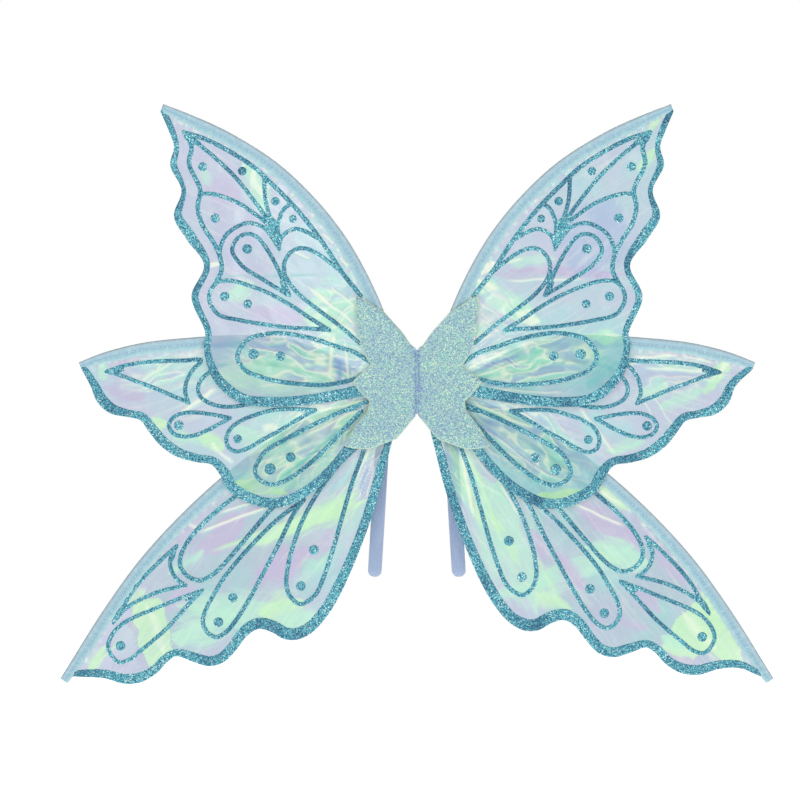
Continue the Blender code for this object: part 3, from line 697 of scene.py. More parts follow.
def rim_edges(triangles):
    """The directed edges that only one triangle has."""
    edges = np.vstack([triangles[:, [0, 1]], triangles[:, [1, 2]], triangles[:, [2, 0]]])
    _, which, counts = np.unique(np.sort(edges, axis=1), axis=0, return_inverse=True,
                                 return_counts=True)
    return edges[counts[which.ravel()] == 1]


# ---------------------------------------------------------------------------------------------
# Meshes and pieces
# ---------------------------------------------------------------------------------------------
def linear(hex_text):
    """A hex colour as linear red, green and blue."""
    values = np.array([int(hex_text[at:at + 2], 16) / 255 for at in (0, 2, 4)])
    return np.where(values <= 0.04045, values / 12.92, ((values + 0.055) / 1.055) ** 2.4)


def rgba(hex_text):
    return (*linear(hex_text), 1)


def add_piece(name, points, faces, material, smooth=True):
    """A mesh object from points in millimetres."""
    mesh = bpy.data.meshes.new(name)
    mesh.from_pydata((np.asarray(points) * MM).tolist(), [], np.asarray(faces).tolist())
    mesh.materials.append(material)
    mesh.polygons.foreach_set("use_smooth", [smooth] * len(mesh.polygons))
    mesh.validate()
    piece = bpy.data.objects.new(name, mesh)
    bpy.context.scene.collection.objects.link(piece)
    return piece


def paint(piece, name, values):
    """Store one number or one colour for each vertex."""
    values = np.asarray(values, np.float32)
    if values.ndim == 1:
        attribute = piece.data.attributes.new(name, "FLOAT", "POINT")
        attribute.data.foreach_set("value", values)
        return
    attribute = piece.data.color_attributes.new(name, "FLOAT_COLOR", "POINT")
    colours = np.ones((len(values), 4), np.float32)
    colours[:, :3] = values
    attribute.data.foreach_set("color", colours.ravel())


def in_layer(side, points, depths):
    """Flat (outwards, up) points at these depths, on the left or the right."""
    return np.stack([side * points[:, 0], depths, points[:, 1]], axis=1)


def facing_viewer(side, triangles):
    return triangles if side > 0 else triangles[:, ::-1]


def closed_sheet(side, points, triangles, front, back):
    """A closed body between a front and a back surface of the same outline."""
    count = len(points)
    rim = rim_edges(triangles)
    walls = np.vstack([np.stack([rim[:, 1], rim[:, 0], rim[:, 0] + count], 1),
                       np.stack([rim[:, 1], rim[:, 0] + count, rim[:, 1] + count], 1)])
    faces = np.vstack([triangles, triangles[:, ::-1] + count, walls])
    corners = np.vstack([in_layer(side, points, front), in_layer(side, points, back)])
    return corners, facing_viewer(side, faces)


# ---------------------------------------------------------------------------------------------
# Materials
# ---------------------------------------------------------------------------------------------
class Nodes:
    """Small helper that builds one material's node tree."""

    def __init__(self, name):
        self.material = bpy.data.materials.new(name)
        self.material.use_nodes = True
        self.tree = self.material.node_tree
        self.shader = self.tree.nodes["Principled BSDF"]

    def set(self, **values):
        for name, value in values.items():
            self.shader.inputs[name.replace("_", " ")].default_value = value

    def add(self, kind, settings=None, inputs=None):
        node = self.tree.nodes.new(kind)
        for name, value in (settings or {}).items():
            setattr(node, name, value)
        for name, value in (inputs or {}).items():
            self.plug(node.inputs[name], value)
        return node

    def plug(self, socket, value):
        if isinstance(value, bpy.types.NodeSocket):
            self.tree.links.new(value, socket)
        else:
            socket.default_value = value

    def place(self, scale=(1, 1, 1)):
        """Object coordinates, stretched by a scale."""
        source = self.add("ShaderNodeTexCoord").outputs["Object"]
        return self.add("ShaderNodeMapping", {}, {"Vector": source, "Scale": scale}).outputs[0]

    def attribute(self, name, output="Fac"):
        return self.add("ShaderNodeAttribute", {"attribute_name": name}).outputs[output]

    def grid(self, across, along):
        """Coordinates from two per-vertex numbers."""
        return self.add("ShaderNodeCombineXYZ", {}, {"X": across, "Y": along}).outputs[0]

    def noise(self, vector, scale, detail=2.0, roughness=0.5):
        inputs = {"Vector": vector, "Scale": scale, "Detail": detail, "Roughness": roughness}
        return self.add("ShaderNodeTexNoise", {}, inputs).outputs["Fac"]

    def cells(self, vector, scale):
        return self.add("ShaderNodeTexVoronoi", {}, {"Vector": vector, "Scale": scale})

    def channel(self, colour, name="Red"):
        return self.add("ShaderNodeSeparateColor", {}, {"Color": colour}).outputs[name]

    def math(self, operation, first, second):
        node = self.add("ShaderNodeMath", {"operation": operation}, {0: first, 1: second})
        return node.outputs[0]

    def ramp(self, factor, stops, interpolation="LINEAR"):
        """Colours by position; stops are (position, hex colour)."""
        node = self.add("ShaderNodeValToRGB", {}, {"Fac": factor})
        ramp = node.color_ramp
        ramp.interpolation = interpolation
        while len(ramp.elements) < len(stops):
            ramp.elements.new(0.5)
        for element, (position, hex_text) in zip(ramp.elements, stops):
            element.position = position
            element.color = rgba(hex_text)
        return node.outputs["Color"]

    def remap(self, value, low, high, to_low, to_high):
        inputs = {"Value": value, "From Min": low, "From Max": high,
                  "To Min": to_low, "To Max": to_high}
        return self.add("ShaderNodeMapRange", {}, inputs).outputs["Result"]

    def mix(self, factor, first, second, blend="MIX"):
        node = self.add("ShaderNodeMix", {"data_type": "RGBA", "blend_type": blend},
                        {"Factor": factor, 6: first, 7: second})
        return node.outputs[2]

    def bump(self, height, distance, strength):
        inputs = {"Height": height, "Distance": distance, "Strength": strength}
        return self.add("ShaderNodeBump", {}, inputs).outputs[0]

    def finish(self, colour=None, roughness=None, normal=None, metallic=None):
        named = {"Base Color": colour, "Roughness": roughness, "Normal": normal,
                 "Metallic": metallic}
        for name, value in named.items():
            if value is not None:
                self.plug(self.shader.inputs[name], value)
        return self.material


def film_material():
    """Thin iridescent film: its painted tint, which holds painted reflections, highlights and
    shade, pale painted reflection wisps, fine crinkle and a hard gloss.
    """
    nodes = Nodes("film_iridescent")
    place = nodes.place()
    reflection_wisps = nodes.noise(place, 55, 5.0, 0.6)
    tint = nodes.attribute("tint", "Color")
    # painted reflection: pale mint wisps over the tint
    colour = nodes.mix(nodes.remap(reflection_wisps, 0.5, 0.8, 0.0, 0.25), tint, (0.72, 0.88, 0.84, 1))
    crinkle = nodes.noise(place, 130, 4.0, 0.55)
    nodes.set(Alpha=FILM_ALPHA, IOR=1.45, Coat_Weight=0.35, Coat_Roughness=0.08)
    return nodes.finish(colour, nodes.remap(crinkle, 0.3, 0.7, 0.18, 0.32),
                        nodes.bump(crinkle, 0.0004, 0.4))


def glitter_material():
    """Teal glitter: flakes in teal shades of their own with their own gloss, the palest near-white
    ones painted glints, darkened by painted shade where the per-vertex light level is low.
    """
    nodes = Nodes("glitter_teal")
    place = nodes.place()
    flakes = nodes.cells(place, 1500)
    pick = nodes.channel(flakes.outputs["Color"])
    tilt = nodes.channel(flakes.outputs["Color"], "Green")
    # flake colours: teal shades of their own, with painted glints in the palest near-white flakes
    colour = nodes.ramp(pick, [(0.0, "145E80"), (0.20, "2E8AA4"), (0.44, "50AEC0"),
                               (0.70, "7ED0D6"), (0.87, "B2EEEA"), (0.96, "F2FFFA")], "CONSTANT")
    # painted shade: darker glitter where the per-vertex light level is low
    shade = nodes.ramp(nodes.attribute("painted_light_level"), [(0.0, "7CA8C2"), (0.5, "D0E2EA"),
                                               (1.0, "FFFFFF")])
    colour = nodes.mix(1.0, colour, shade, "MULTIPLY")
    nodes.set(Coat_Weight=0.3, Coat_Roughness=0.15)
    return nodes.finish(colour, nodes.remap(tilt, 0, 1, 0.22, 0.5), nodes.bump(tilt, 0.0005, 0.7),
                        nodes.remap(pick, 0, 1, 0.05, 0.3))


def pad_glitter_material():
    """Fine glitter fabric in mint, pale blue and lavender, with painted shade in bluer flakes where
    'shade' is high.
    """
    nodes = Nodes("glitter_fabric_mint")
    place = nodes.place()
    flakes = nodes.cells(place, 1600)
    pick = nodes.channel(flakes.outputs["Color"])
    tilt = nodes.channel(flakes.outputs["Color"], "Green")
    colour = nodes.ramp(pick, [(0.0, "6E93B4"), (0.10, "8F9FCE"), (0.22, "86B4BC"),
                               (0.40, "92C8C2"), (0.62, "A8DACA"), (0.80, "C4EACE"),
                               (0.93, "EEF6D2")], "CONSTANT")
    blue = nodes.ramp(pick, [(0.0, "6C86BC"), (0.25, "8C9CD0"), (0.5, "8CB2C6"),
                             (0.75, "A4D2CC")], "CONSTANT")
    # painted shade: bluer flakes where 'shade' is high
    colour = nodes.mix(nodes.attribute("shade"), colour, blue)
    colour = nodes.mix(nodes.attribute("cut_edge"), colour, rgba("CFE6C0"))
    nodes.set(Coat_Weight=0.2, Coat_Roughness=0.2)
    return nodes.finish(colour, nodes.remap(tilt, 0, 1, 0.25, 0.6), nodes.bump(tilt, 0.0004, 0.7),
                        nodes.remap(pick, 0, 1, 0.1, 0.35))


def casing_material():
    """Pale blue satin whose colour runs from the grey outer fold, painted shade, to the bluer inner
    hem, with painted sheen on its puckers.
    """
    nodes = Nodes("satin_pale_blue")
    across, along = nodes.attribute("across"), nodes.attribute("along")
    threads = nodes.noise(nodes.grid(nodes.math("MULTIPLY", across, 14.0),
                                     nodes.math("MULTIPLY", along, 0.35)), 1.0, 3.0)
    puckers = nodes.noise(nodes.grid(nodes.math("MULTIPLY", across, 2.0),
                                     nodes.math("MULTIPLY", along, 0.30)), 1.0, 2.0)
    # across the casing: painted shade greys the outer fold and darkens the dip along the stitch
    # line, leaving the wire's bulge and the inner edge paler
    colour = nodes.ramp(across, [(0.0, "8EA3AE"), (0.08, "A8BAC4"), (0.22, "ABC6D0"),
                                 (0.42, "98BECE"), (0.55, "8CB2C4"), (0.66, "96C0CE"),
                                 (0.86, "A6CED4"), (1.0, "BAD8DA")])
    colour = nodes.mix(nodes.remap(threads, 0.35, 0.7, 0.0, 0.35), colour, rgba("86AEC4"))
    # painted sheen: paler patches where the satin puckers
    colour = nodes.mix(nodes.remap(puckers, 0.5, 0.75, 0.0, 0.5), colour, rgba("BEDDDC"))
    nodes.set(Sheen_Weight=0.12, Sheen_Roughness=0.4)
    return nodes.finish(colour, nodes.remap(threads, 0.3, 0.7, 0.30, 0.48),
                        nodes.bump(threads, 0.0003, 0.5))


def fabric_material(name, base, darker, scale, roughness=0.8):
    """Matt woven backing: crossed threads with soft mottling."""
    nodes = Nodes(name)
    warp = nodes.add("ShaderNodeTexWave", {"bands_direction": "X"},
                     {"Vector": nodes.place(), "Scale": scale, "Distortion": 0.6})
    weft = nodes.add("ShaderNodeTexWave", {"bands_direction": "Z"},
                     {"Vector": nodes.place(), "Scale": scale, "Distortion": 0.6})
    weave = nodes.math("MULTIPLY", warp.outputs["Fac"], weft.outputs["Fac"])
    mottle = nodes.noise(nodes.place(), 160, 6.0, 0.7)
    fluff = nodes.noise(nodes.place(), 1100, 3.0, 0.6)
    colour = nodes.mix(nodes.remap(weave, 0, 0.6, 0.8, 0.0), rgba(base), rgba(darker))
    colour = nodes.mix(nodes.remap(mottle, 0.35, 0.7, 0.0, 0.6), colour, rgba(darker))
    colour = nodes.mix(nodes.remap(fluff, 0.5, 0.75, 0.0, 0.5), colour, rgba("D3E2EE"))
    nodes.set(Sheen_Weight=0.3, Sheen_Roughness=0.5, Roughness=roughness)
    return nodes.finish(colour, None, nodes.bump(weave, 0.0003, 0.6))


def elastic_material():
    """Ribbed elastic: lengthwise ribs with crossed braid lines."""
    nodes = Nodes("elastic_periwinkle")
    across, along = nodes.attribute("across"), nodes.attribute("along")
    vector = nodes.grid(across, along)
    braid = nodes.add("ShaderNodeTexWave", {"bands_direction": "DIAGONAL"},
                      {"Vector": vector, "Scale": 0.55, "Distortion": 0.4})
    knit = nodes.add("ShaderNodeTexWave", {"bands_direction": "Y"},
                     {"Vector": vector, "Scale": 0.45, "Distortion": 0.5})
    height = nodes.math("ADD", braid.outputs["Fac"], knit.outputs["Fac"])
    fuzz = nodes.noise(nodes.place(), 700, 3.0)
    colour = nodes.mix(nodes.remap(height, 0.5, 1.6, 0.0, 1.0), rgba("93A7CC"), rgba("AFC0DE"))
    colour = nodes.mix(nodes.remap(fuzz, 0.4, 0.7, 0.0, 0.3), colour, rgba("BBCBE4"))
    nodes.set(Sheen_Weight=0.35, Sheen_Roughness=0.5, Roughness=0.72)
    return nodes.finish(colour, None, nodes.bump(height, 0.0003, 0.6))


def thread_material():
    nodes = Nodes("sewing_thread")
    twist = nodes.noise(nodes.place((1, 1, 4)), 900, 2.0)
    colour = nodes.mix(nodes.remap(twist, 0.3, 0.7, 0.0, 1.0), rgba("B4CCD8"), rgba("DCEAEE"))
    nodes.set(Roughness=0.5, Sheen_Weight=0.3)
    return nodes.finish(colour, None, nodes.bump(twist, 0.0002, 0.5))


def foam_material():
    nodes = Nodes("pad_foam_white")
    pores = nodes.cells(nodes.place(), 900).outputs["Distance"]
    mottle = nodes.noise(nodes.place(), 120, 4.0)
    colour = nodes.mix(nodes.remap(mottle, 0.3, 0.7, 0.0, 1.0), rgba("E9ECF0"), rgba("D7DDE6"))
    nodes.set(Roughness=0.95)
    return nodes.finish(colour, None, nodes.bump(pores, 0.0005, 0.8))


def wire_material():
    nodes = Nodes("spring_wire")
    scratches = nodes.noise(nodes.place((1, 1, 0.15)), 2500, 3.0)
    nodes.set(Metallic=1.0)
    colour = nodes.mix(scratches, rgba("A9ABAF"), rgba("D3D5D8"))
    return nodes.finish(colour, nodes.remap(scratches, 0.3, 0.7, 0.2, 0.45),
                        nodes.bump(scratches, 0.0001, 0.3))


def plastic_material(name, base):
    nodes = Nodes(name)
    mottle = nodes.noise(nodes.place(), 600, 3.0)
    colour = nodes.mix(nodes.remap(mottle, 0.3, 0.7, 0.0, 0.4), rgba(base), rgba("FFFFFF"))
    return nodes.finish(colour, nodes.remap(mottle, 0.3, 0.7, 0.4, 0.6),
                        nodes.bump(mottle, 0.0002, 0.4))


# ---------------------------------------------------------------------------------------------
# Wings
# ---------------------------------------------------------------------------------------------
LEADING_STEP = 2.0              # how finely the wings' lines are divided
GLITTER_STEP = 1.5
CASING_STEP = 1.15
FILM_TUCK = 1.8                 # how far the film reaches in under its casing
RELIEF_STEP = 0.9               # over which slopes are measured
LINE_THINNING = 3               # every third point of a line is enough to measure from


def slide_of(level, side_name, leading):
    """The step (outwards, up) of a film that was slid along its wing."""
    run = leading[-1] - root_of(level)
    return run / np.linalg.norm(run) * FILM_SLIP[level][side_name]


def slid(points, slide):
    """Points moved by (outwards, up); a width in the third column stays as it is."""
    points = np.array(points, float)
    points[:, :2] += slide
    return points


def wing_outline(level, side_name):
    """The wing's lines: leading edge, film line, scalloped edge with widths, film outline."""
    wing = WINGS[level]
    leading = respaced(smooth_curve(wing["leading"]), LEADING_STEP)
    slide = slide_of(level, side_name, leading)
    normals = inward_normals(leading)
    widths = casing_widths(leading, wing["tip_width"])
    film_line = leading + normals * (widths + CASING_TO_FILM)[:, None]
    back = film_line[-4] - film_line[-1]
    corner = film_line[-1] + back / np.linalg.norm(back) * wing["tip_overhang"]
    scallops = smooth_curve([(*corner, BORDER_TIP_WIDTH), *slid(wing["scallops"], slide)])
    under_casing = leading + normals * (widths - FILM_TUCK)[:, None]
    outline = np.vstack([under_casing, scallops[:, :2], np.array(wing["root"], float)])
    return {"leading": leading, "normals": normals, "widths": widths, "film_line": film_line,
            "scallops": scallops, "outline": outline, "slide": slide}


def root_of(level):
    return np.array(WINGS[level]["pivot"], float)


def root_folds(level, points, seed):
    """Folds that fan out from the root: strong ones near it, faint ones further out."""
    away = points - root_of(level)
    radius = np.hypot(away[:, 0], away[:, 1])
    turn = np.arctan2(away[:, 1], away[:, 0])
    turn = turn + 0.10 * noise(radius / 30, turn * 3, seed + 2)
    broad = noise(turn * 9, radius / 90, seed + 3)
    sharp = 1 - 2 * softly_positive(noise(turn * 15, radius / 70, seed + 4))
    near = smoothstep(12, 34, radius) * np.exp(-(radius / ROOT_REACH[level]) ** 2)
    far = smoothstep(30, 70, radius) * FAR_FOLDS[level]
    faint = noise(turn * 11, radius / 60, seed + 5)
    return near * (0.62 * broad + 0.42 * sharp), far * 0.35 * faint


def wing_relief(level, side_name, lines, points):
    """How far the film lifts from its layer's middle at each point."""
    seed = 100 * LEVELS.index(level) + (7 if side_name == "left" else 3)
    u, z = points[:, 0], points[:, 1]
    to_casing, along = nearest_on(points, lines["film_line"][::LINE_THINNING])
    near_folds, far_folds = root_folds(level, points, seed)

    lift = 0.45 * noise(u / 48, z / 48, seed) + 0.16 * noise(u / 15, z / 15, seed + 1)
    lift = lift + near_folds + far_folds
    lift *= 0.25 + 0.75 * smoothstep(0, 9, to_casing)
    ruffle = noise(along / 3.4, to_casing / 9, seed + 6) * np.exp(-to_casing / 4.5)
    lift += RUFFLE_HEIGHT * ruffle
    strength, fold = crumple(level, side_name, points)
    lift += CRUMPLE_HEIGHT * strength * (1 - 2 * np.minimum(1, softly_positive(fold)))
    for _, start, end, half_width, height, _ in CREASES[level, side_name]:
        lift += height * crease_mask(points, start, end, half_width * CREASE_SPREAD)
    return np.clip(lift, -RELIEF_LIMIT, RELIEF_LIMIT)


def crease_mask(points, start, end, half_width):
    """1 on the crease's slightly wavering line, falling off beside it and at its ends."""
    start, end = np.array(start, float), np.array(end, float)
    run = end - start
    length = np.linalg.norm(run)
    along = (points - start) @ run / length
    beside = (points - start) @ np.array([-run[1], run[0]]) / length
    beside = beside + 0.9 * noise(along / 14, along * 0 + start[0], 11) * np.sin(
        np.clip(along / length, 0, 1) * pi)
    past = np.maximum(0, np.maximum(-along, along - length))
    ends = smoothstep(0, 0.18, along / length) * smoothstep(0, 0.18, 1 - along / length)
    return np.exp(-(beside / half_width) ** 2) * ends * np.exp(-past)


def warped(points, reach, size, seed):
    """The points pushed about by smooth noise, so that what is drawn there wanders."""
    u, z = points[:, 0] / size, points[:, 1] / size
    return points + reach * np.stack([noise(u, z, seed), noise(u, z, seed + 1)], axis=1)


def turned_to(points, centre, angle):
    """Coordinates along and beside a direction, from a centre."""
    away = points - np.array(centre, float)
    turn = radians(angle)
    return (away[:, 0] * cos(turn) + away[:, 1] * sin(turn),
            -away[:, 0] * sin(turn) + away[:, 1] * cos(turn))


def patch_mask(points, centre, half_sizes, angle, softness, seed):
    """1 in a streak that comes to a point at both ends and breaks up into fibres."""
    along, beside = turned_to(warped(points, 2.2, 10, seed), centre, angle)
    fibres = 0.26 * noise(along / 26, beside / 1.5, seed)
    fibres = fibres + 0.30 * noise(along / 15, beside / 6, seed)
    if softness == SHARP:
        fibres = fibres * 0.3
    taper = 8 if softness == SHARP else 2.2
    share = np.abs(along) / half_sizes[0] * (1 + 0.25 * fibres)
    room = half_sizes[1] * np.maximum(1 - share ** taper, 0.02)
    reach = np.abs(beside) / room + fibres
    mask = 1 - smoothstep(1 - softness * 0.85, 1 + softness * 0.55, reach)
    return mask * (share < 1) * (1 - 0.35 * np.clip(fibres, 0, 1))


def crumple(level, side_name, points):
    """Where the film is crumpled: how strongly, and a fold field that is 0 on each fold."""
    seed = 300 + 10 * LEVELS.index(level) + SIDES[side_name]
    strength = np.zeros(len(points))
    fold = np.zeros(len(points))
    for number, (centre, half_sizes, angle, most) in enumerate(CRUMPLES[level]):
        along, beside = turned_to(points, centre, angle)
        reach = np.hypot(along / half_sizes[0], beside / half_sizes[1])
        here = most * (1 - smoothstep(0.45, 1.05, reach))
        along, beside = turned_to(warped(points, 5.0, 17, seed + number), centre, angle)
        folds = noise(along / 18, beside / 5.2, seed + 20 + number)
        folds = folds + 0.42 * noise(along / 8, beside / 3.1, seed + 40 + number)
        fold = np.where(here > strength, folds, fold)
        strength = np.maximum(strength, here)
    return strength, fold


def film_tint_value(name):
    """The film's own colour that shows as the named tint over white."""
    over_white = linear(FILM_TINTS[name]) - FILM_GLOSS
    return np.clip((over_white - (1 - FILM_ALPHA)) / FILM_ALPHA, 0.02, 1)


def relief_slopes(level, side_name, lines, points):
    """The relief's slopes outwards and upwards, and how sharply it ridges."""
    step = RELIEF_STEP

    def relief(shift_u, shift_z):
        return wing_relief(level, side_name, lines, points + np.array([shift_u, shift_z]))

    here = relief(0, 0)
    right, left, up, down = relief(step, 0), relief(-step, 0), relief(0, step), relief(0, -step)
    ridge = (4 * here - right - left - up - down) / step ** 2
    return here, (right - left) / (2 * step), (up - down) / (2 * step), ridge


class Tints:
    """The film's colour at each point, which one effect after another is laid over."""

    def __init__(self, colour):
        self.colour = colour

    def lay(self, name, mask):
        self.colour = self.colour + (film_tint_value(name) - self.colour) * mask[:, None]


def drifting_colour(level, points, slope, seed):
    """The film's own colour drifts over the wing; a painted reflection shifts it towards mint and
    lime where the film leans one way and towards lilac where it leans the other.
    """
    u, z = points[:, 0], points[:, 1]
    base, drift = FILM_BASE[level]
    phase = base + drift * noise(u / 38, z / 38, seed)
    phase = phase + 0.4 * drift * noise(u / 13, z / 13, seed + 1)
    # painted reflection and shade from the film's lean
    phase += np.clip(slope, -0.3, 0.4)
    stops = np.array([film_tint_value(name) for name in FILM_RANGE])
    return np.stack([np.interp(phase, FILM_RANGE_AT, stops[:, c]) for c in range(3)], axis=1)


def lay_patches(tints, level, side_name, points, seed):
    for number, patch in enumerate(PATCHES[level, side_name]):
        name, centre, half_sizes, angle, strength, softness = patch
        mask = patch_mask(points, centre, half_sizes, angle, softness, seed + 10 + number)
        tints.lay(name, strength * mask)


def lay_fold_light_and_shade(tints, strength, fold):
    """Painted reflections and shade on the flanks of a crumple's folds, and a painted highlight
    along each fold.
    """
    for name, share, starts, full in FOLD_LIGHT_AND_SHADE:
        tints.lay(name, share * strength * smoothstep(starts, full, fold))
    tints.lay("cream", 0.8 * strength * (1 - smoothstep(0.0, 0.27, np.abs(fold))))


def lay_glint_streaks(tints, level, points, seed):
    """Fine painted reflection streaks that come and go: cream glints and darker haze."""
    along, beside = turned_to(warped(points, 3, 30, seed + 7), (0, 0), GLINT_STREAK_ANGLE[level])
    glint_streaks = noise(along / 42, beside / 1.6, seed + 8)
    patchy = 0.5 + 0.5 * noise(points[:, 0] / 26, points[:, 1] / 26, seed + 9)
    tints.lay("cream", 0.28 * patchy * smoothstep(0.25, 0.8, glint_streaks))
    tints.lay("haze", 0.30 * patchy * smoothstep(0.25, 0.8, -glint_streaks))


def lay_gather_highlights(tints, level, lines, points, seed):
    """Painted highlights on the pleats where the film is sewn into its casing."""
    to_casing, along = nearest_on(points, lines["film_line"][::LINE_THINNING])
    wander = 2.2 * noise(along / 15, along * 0, seed + 5)
    gathers = smoothstep(0.2, 0.95, np.sin(2 * pi * along / GATHER_PITCH + wander))
    gathers = gathers * (0.55 + 0.45 * noise(along / 9, to_casing / 3, seed + 6))
    tints.lay("cream", GATHER_SHINE[level] * gathers * np.exp(-((to_casing - 0.8) / 1.4) ** 2))


def film_tints(level, side_name, lines, points, slopes):
    """The film's colour at each point: its own, then painted reflections, highlights and shade from
    patches, folds, glint streaks, gathers, the film's lean and creases.
    """
    seed = 500 + 100 * LEVELS.index(level) + (7 if side_name == "left" else 3)
    _, slope_u, slope_z, ridge = slopes
    # how far the film leans towards where the painted light comes from, up and outwards
    slope = slope_u * 0.55 + slope_z * 0.83
    tints = Tints(drifting_colour(level, points, slope, seed))
    lay_patches(tints, level, side_name, points, seed)
    lay_fold_light_and_shade(tints, *crumple(level, side_name, points))
    lay_glint_streaks(tints, level, points, seed)
    lay_gather_highlights(tints, level, lines, points, seed)
    # painted light from the film's shape: mauve shade where it leans away, a mint reflection where
    # it leans towards the light, a cream highlight on ridges
    tints.lay("mauve", 0.35 * smoothstep(0.08, 0.3, -slope))
    tints.lay("mint", 0.4 * smoothstep(0.10, 0.3, slope))
    tints.lay("cream", 0.6 * smoothstep(0.12, 0.4, ridge))
    # painted highlights and shade along the creases
    for name, start, end, half_width, _, strength in CREASES[level, side_name]:
        tints.lay(name, strength * crease_mask(points, start, end, half_width))
    return tints.colour


def border_shape(lines):
    canvas = Canvas(lines["outline"], GLITTER_GRID)
    scallops = respaced(lines["scallops"], GLITTER_STEP)
    canvas.draw(scallops, 2 * scallops[:, 2])
    return canvas.triangles()


def vein_shape(level, lines):
    canvas = Canvas(lines["outline"], GLITTER_GRID)
    slide = lines["slide"]
    for width, points in VEINS[level]:
        canvas.draw(respaced(smooth_curve(slid(points, slide)), GLITTER_STEP), width)
    for heart in VEIN_HEARTS[level]:
        line = smooth_curve(slid(heart, slide))
        canvas.draw(line, line[:, 2])
    for outwards, up, radius in slid(DOTS[level], slide):
        canvas.draw([(outwards, up), (outwards + 0.01, up)], 2 * radius)
    return canvas.triangles()


def add_film(level, side_name, lines, shape, material):
    side = SIDES[side_name]
    points, triangles, _ = shape
    slopes = relief_slopes(level, side_name, lines, points)
    lift, slope_u, slope_z, _ = slopes
    place = in_layer(side, points, layer_middle(level, side_name) - lift)
    film = add_piece(f"{level}_{side_name}_wing_film", place, facing_viewer(side, triangles),
                     material)
    normals = np.stack([-side * slope_u, -np.ones(len(points)), -slope_z], axis=1)
    normals /= np.linalg.norm(normals, axis=1)[:, None]
    film.data.normals_split_custom_set_from_vertices(normals.tolist())
    paint(film, "tint", film_tints(level, side_name, lines, points, slopes))
    return film


def depths(node):
    """The front and back of a CAD node, in millimetres."""
    low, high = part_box(node)
    return low.y / MM, high.y / MM


def layer_middle(level, side_name):
    return sum(depths(f"{level}_{side_name}_film")) / 2


def add_glitter(kind, level, side_name, lines, shape, material):
    """Glitter glued through the film: a raised crust in front and a thin flat skin behind."""
    side = SIDES[side_name]
    points, triangles, field = shape
    seed = 900 + 10 * LEVELS.index(level) + len(kind) + (side > 0)
    rng = np.random.default_rng(seed)
    height = GLITTER_LIFT * smoothstep(0.0, 0.8, field) + 0.05
    height += rng.uniform(-0.5, 0.5, len(points)) * GRAIN_HEIGHT * smoothstep(0.0, 0.5, field)
    skin = GLITTER_SKIN + rng.uniform(0, 1, len(points)) * GRAIN_HEIGHT * 0.5
    film = layer_middle(level, side_name) - wing_relief(level, side_name, lines, points)
    place, faces = closed_sheet(side, points, triangles, film - height, film + skin)
    name = f"{level}_{side_name}_{kind}_glitter"
    piece = add_piece(name, place, faces, material, smooth=False)
    u, z = points[:, 0], points[:, 1]
    # painted shade and light: soft random patches of darker and lighter glitter, standing in for
    # folds in shade and in light
    painted_light_level = 0.72 + 0.50 * noise(u / 24, z / 24, seed + 1) + 0.2 * noise(u / 8, z / 8, seed + 2)
    paint(piece, "painted_light_level", np.tile(np.clip(painted_light_level, 0, 1), 2))
    return piece


def casing_profile(width):
    """Points round the casing as (across, lift): the wire's bulge, then the flat hem."""
    across = np.array([0.0, 0.3, 0.9, 1.7, 2.5, 3.3, 4.0, 4.6, 5.2, 6.0, 7.0, 8.0, 9.0, 9.7])
    lift = np.array([0.35, 1.0, 1.45, 1.66, 1.70, 1.55, 1.20, 0.85, 0.70, 0.66, 0.62, 0.58,
                     0.50, 0.30])
    across = across / CASING_WIDTH * width
    return (np.concatenate([across, [width], across[::-1]]),
            np.concatenate([lift, [0.0], -lift[::-1]]))


STITCH_ACROSS = 5.4             # the casing's stitch line, from the outer edge
STITCH_PITCH = 3.4
CASING_STITCH_LIFT = 0.62
CASING_STITCHED = slice(6, -4)  # the part of the leading edge that shows stitches


def casing_ring(point, normal, s, length, seed):
    """One ring round the casing: flat points, their lift, and their share of the width."""
    across, lift = casing_profile(point[2])
    share = across / point[2]
    closing = 0.15 + 0.85 * min(1.0, min(s, length - s) / 3.0)
    ones = np.ones_like(across)
    pucker = noise(ones * s / 2.6, share * 3, seed) * smoothstep(0.25, 0.6, share)
    soft = noise(ones * s / 11, share * 2, seed + 1)
    stitch = np.exp(-((across - STITCH_ACROSS) / 0.8) ** 2)
    stitch = stitch * (0.55 - 0.45 * cos(2 * pi * s / STITCH_PITCH))
    scale = closing * (1 + 0.22 * pucker + 0.05 * soft - 0.38 * stitch)
    waver = 0.35 * noise(ones * s / 3.1, share * 0, seed + 2) * smoothstep(0.8, 1, share)
    return point[:2] + normal * (across + waver)[:, None], lift * scale, share


def add_casing(level, side_name, lines, material):
    """Satin sewn round the wire: a bulge over the wire, a flat hem, puckers at each stitch."""
    side = SIDES[side_name]
    seed = 700 + 10 * LEVELS.index(level) + side
    line = respaced(np.column_stack([lines["leading"], lines["widths"]]), CASING_STEP)
    along = lengths_along(line)
    middle = layer_middle(level, side_name)
    rings, across_values, along_values = [], [], []
    for point, normal, s in zip(line, inward_normals(line), along):
        flat, lift, share = casing_ring(point, normal, s, along[-1], seed)
        rings.append(in_layer(side, flat, middle - lift))
        across_values.append(share)
        along_values.append(np.full(len(share), s))
    return add_tube(f"{level}_{side_name}_satin_casing", rings, material,
                    {"across": across_values, "along": along_values}, side)


def tube_faces(rings, count):
    """Quads between rings of the same count of points."""
    ring, corner = np.meshgrid(np.arange(rings - 1), np.arange(count), indexing="ij")
    here = ring * count + corner
    ahead = ring * count + (corner + 1) % count
    return np.stack([here, ahead, ahead + count, here + count], axis=-1).reshape(-1, 4)


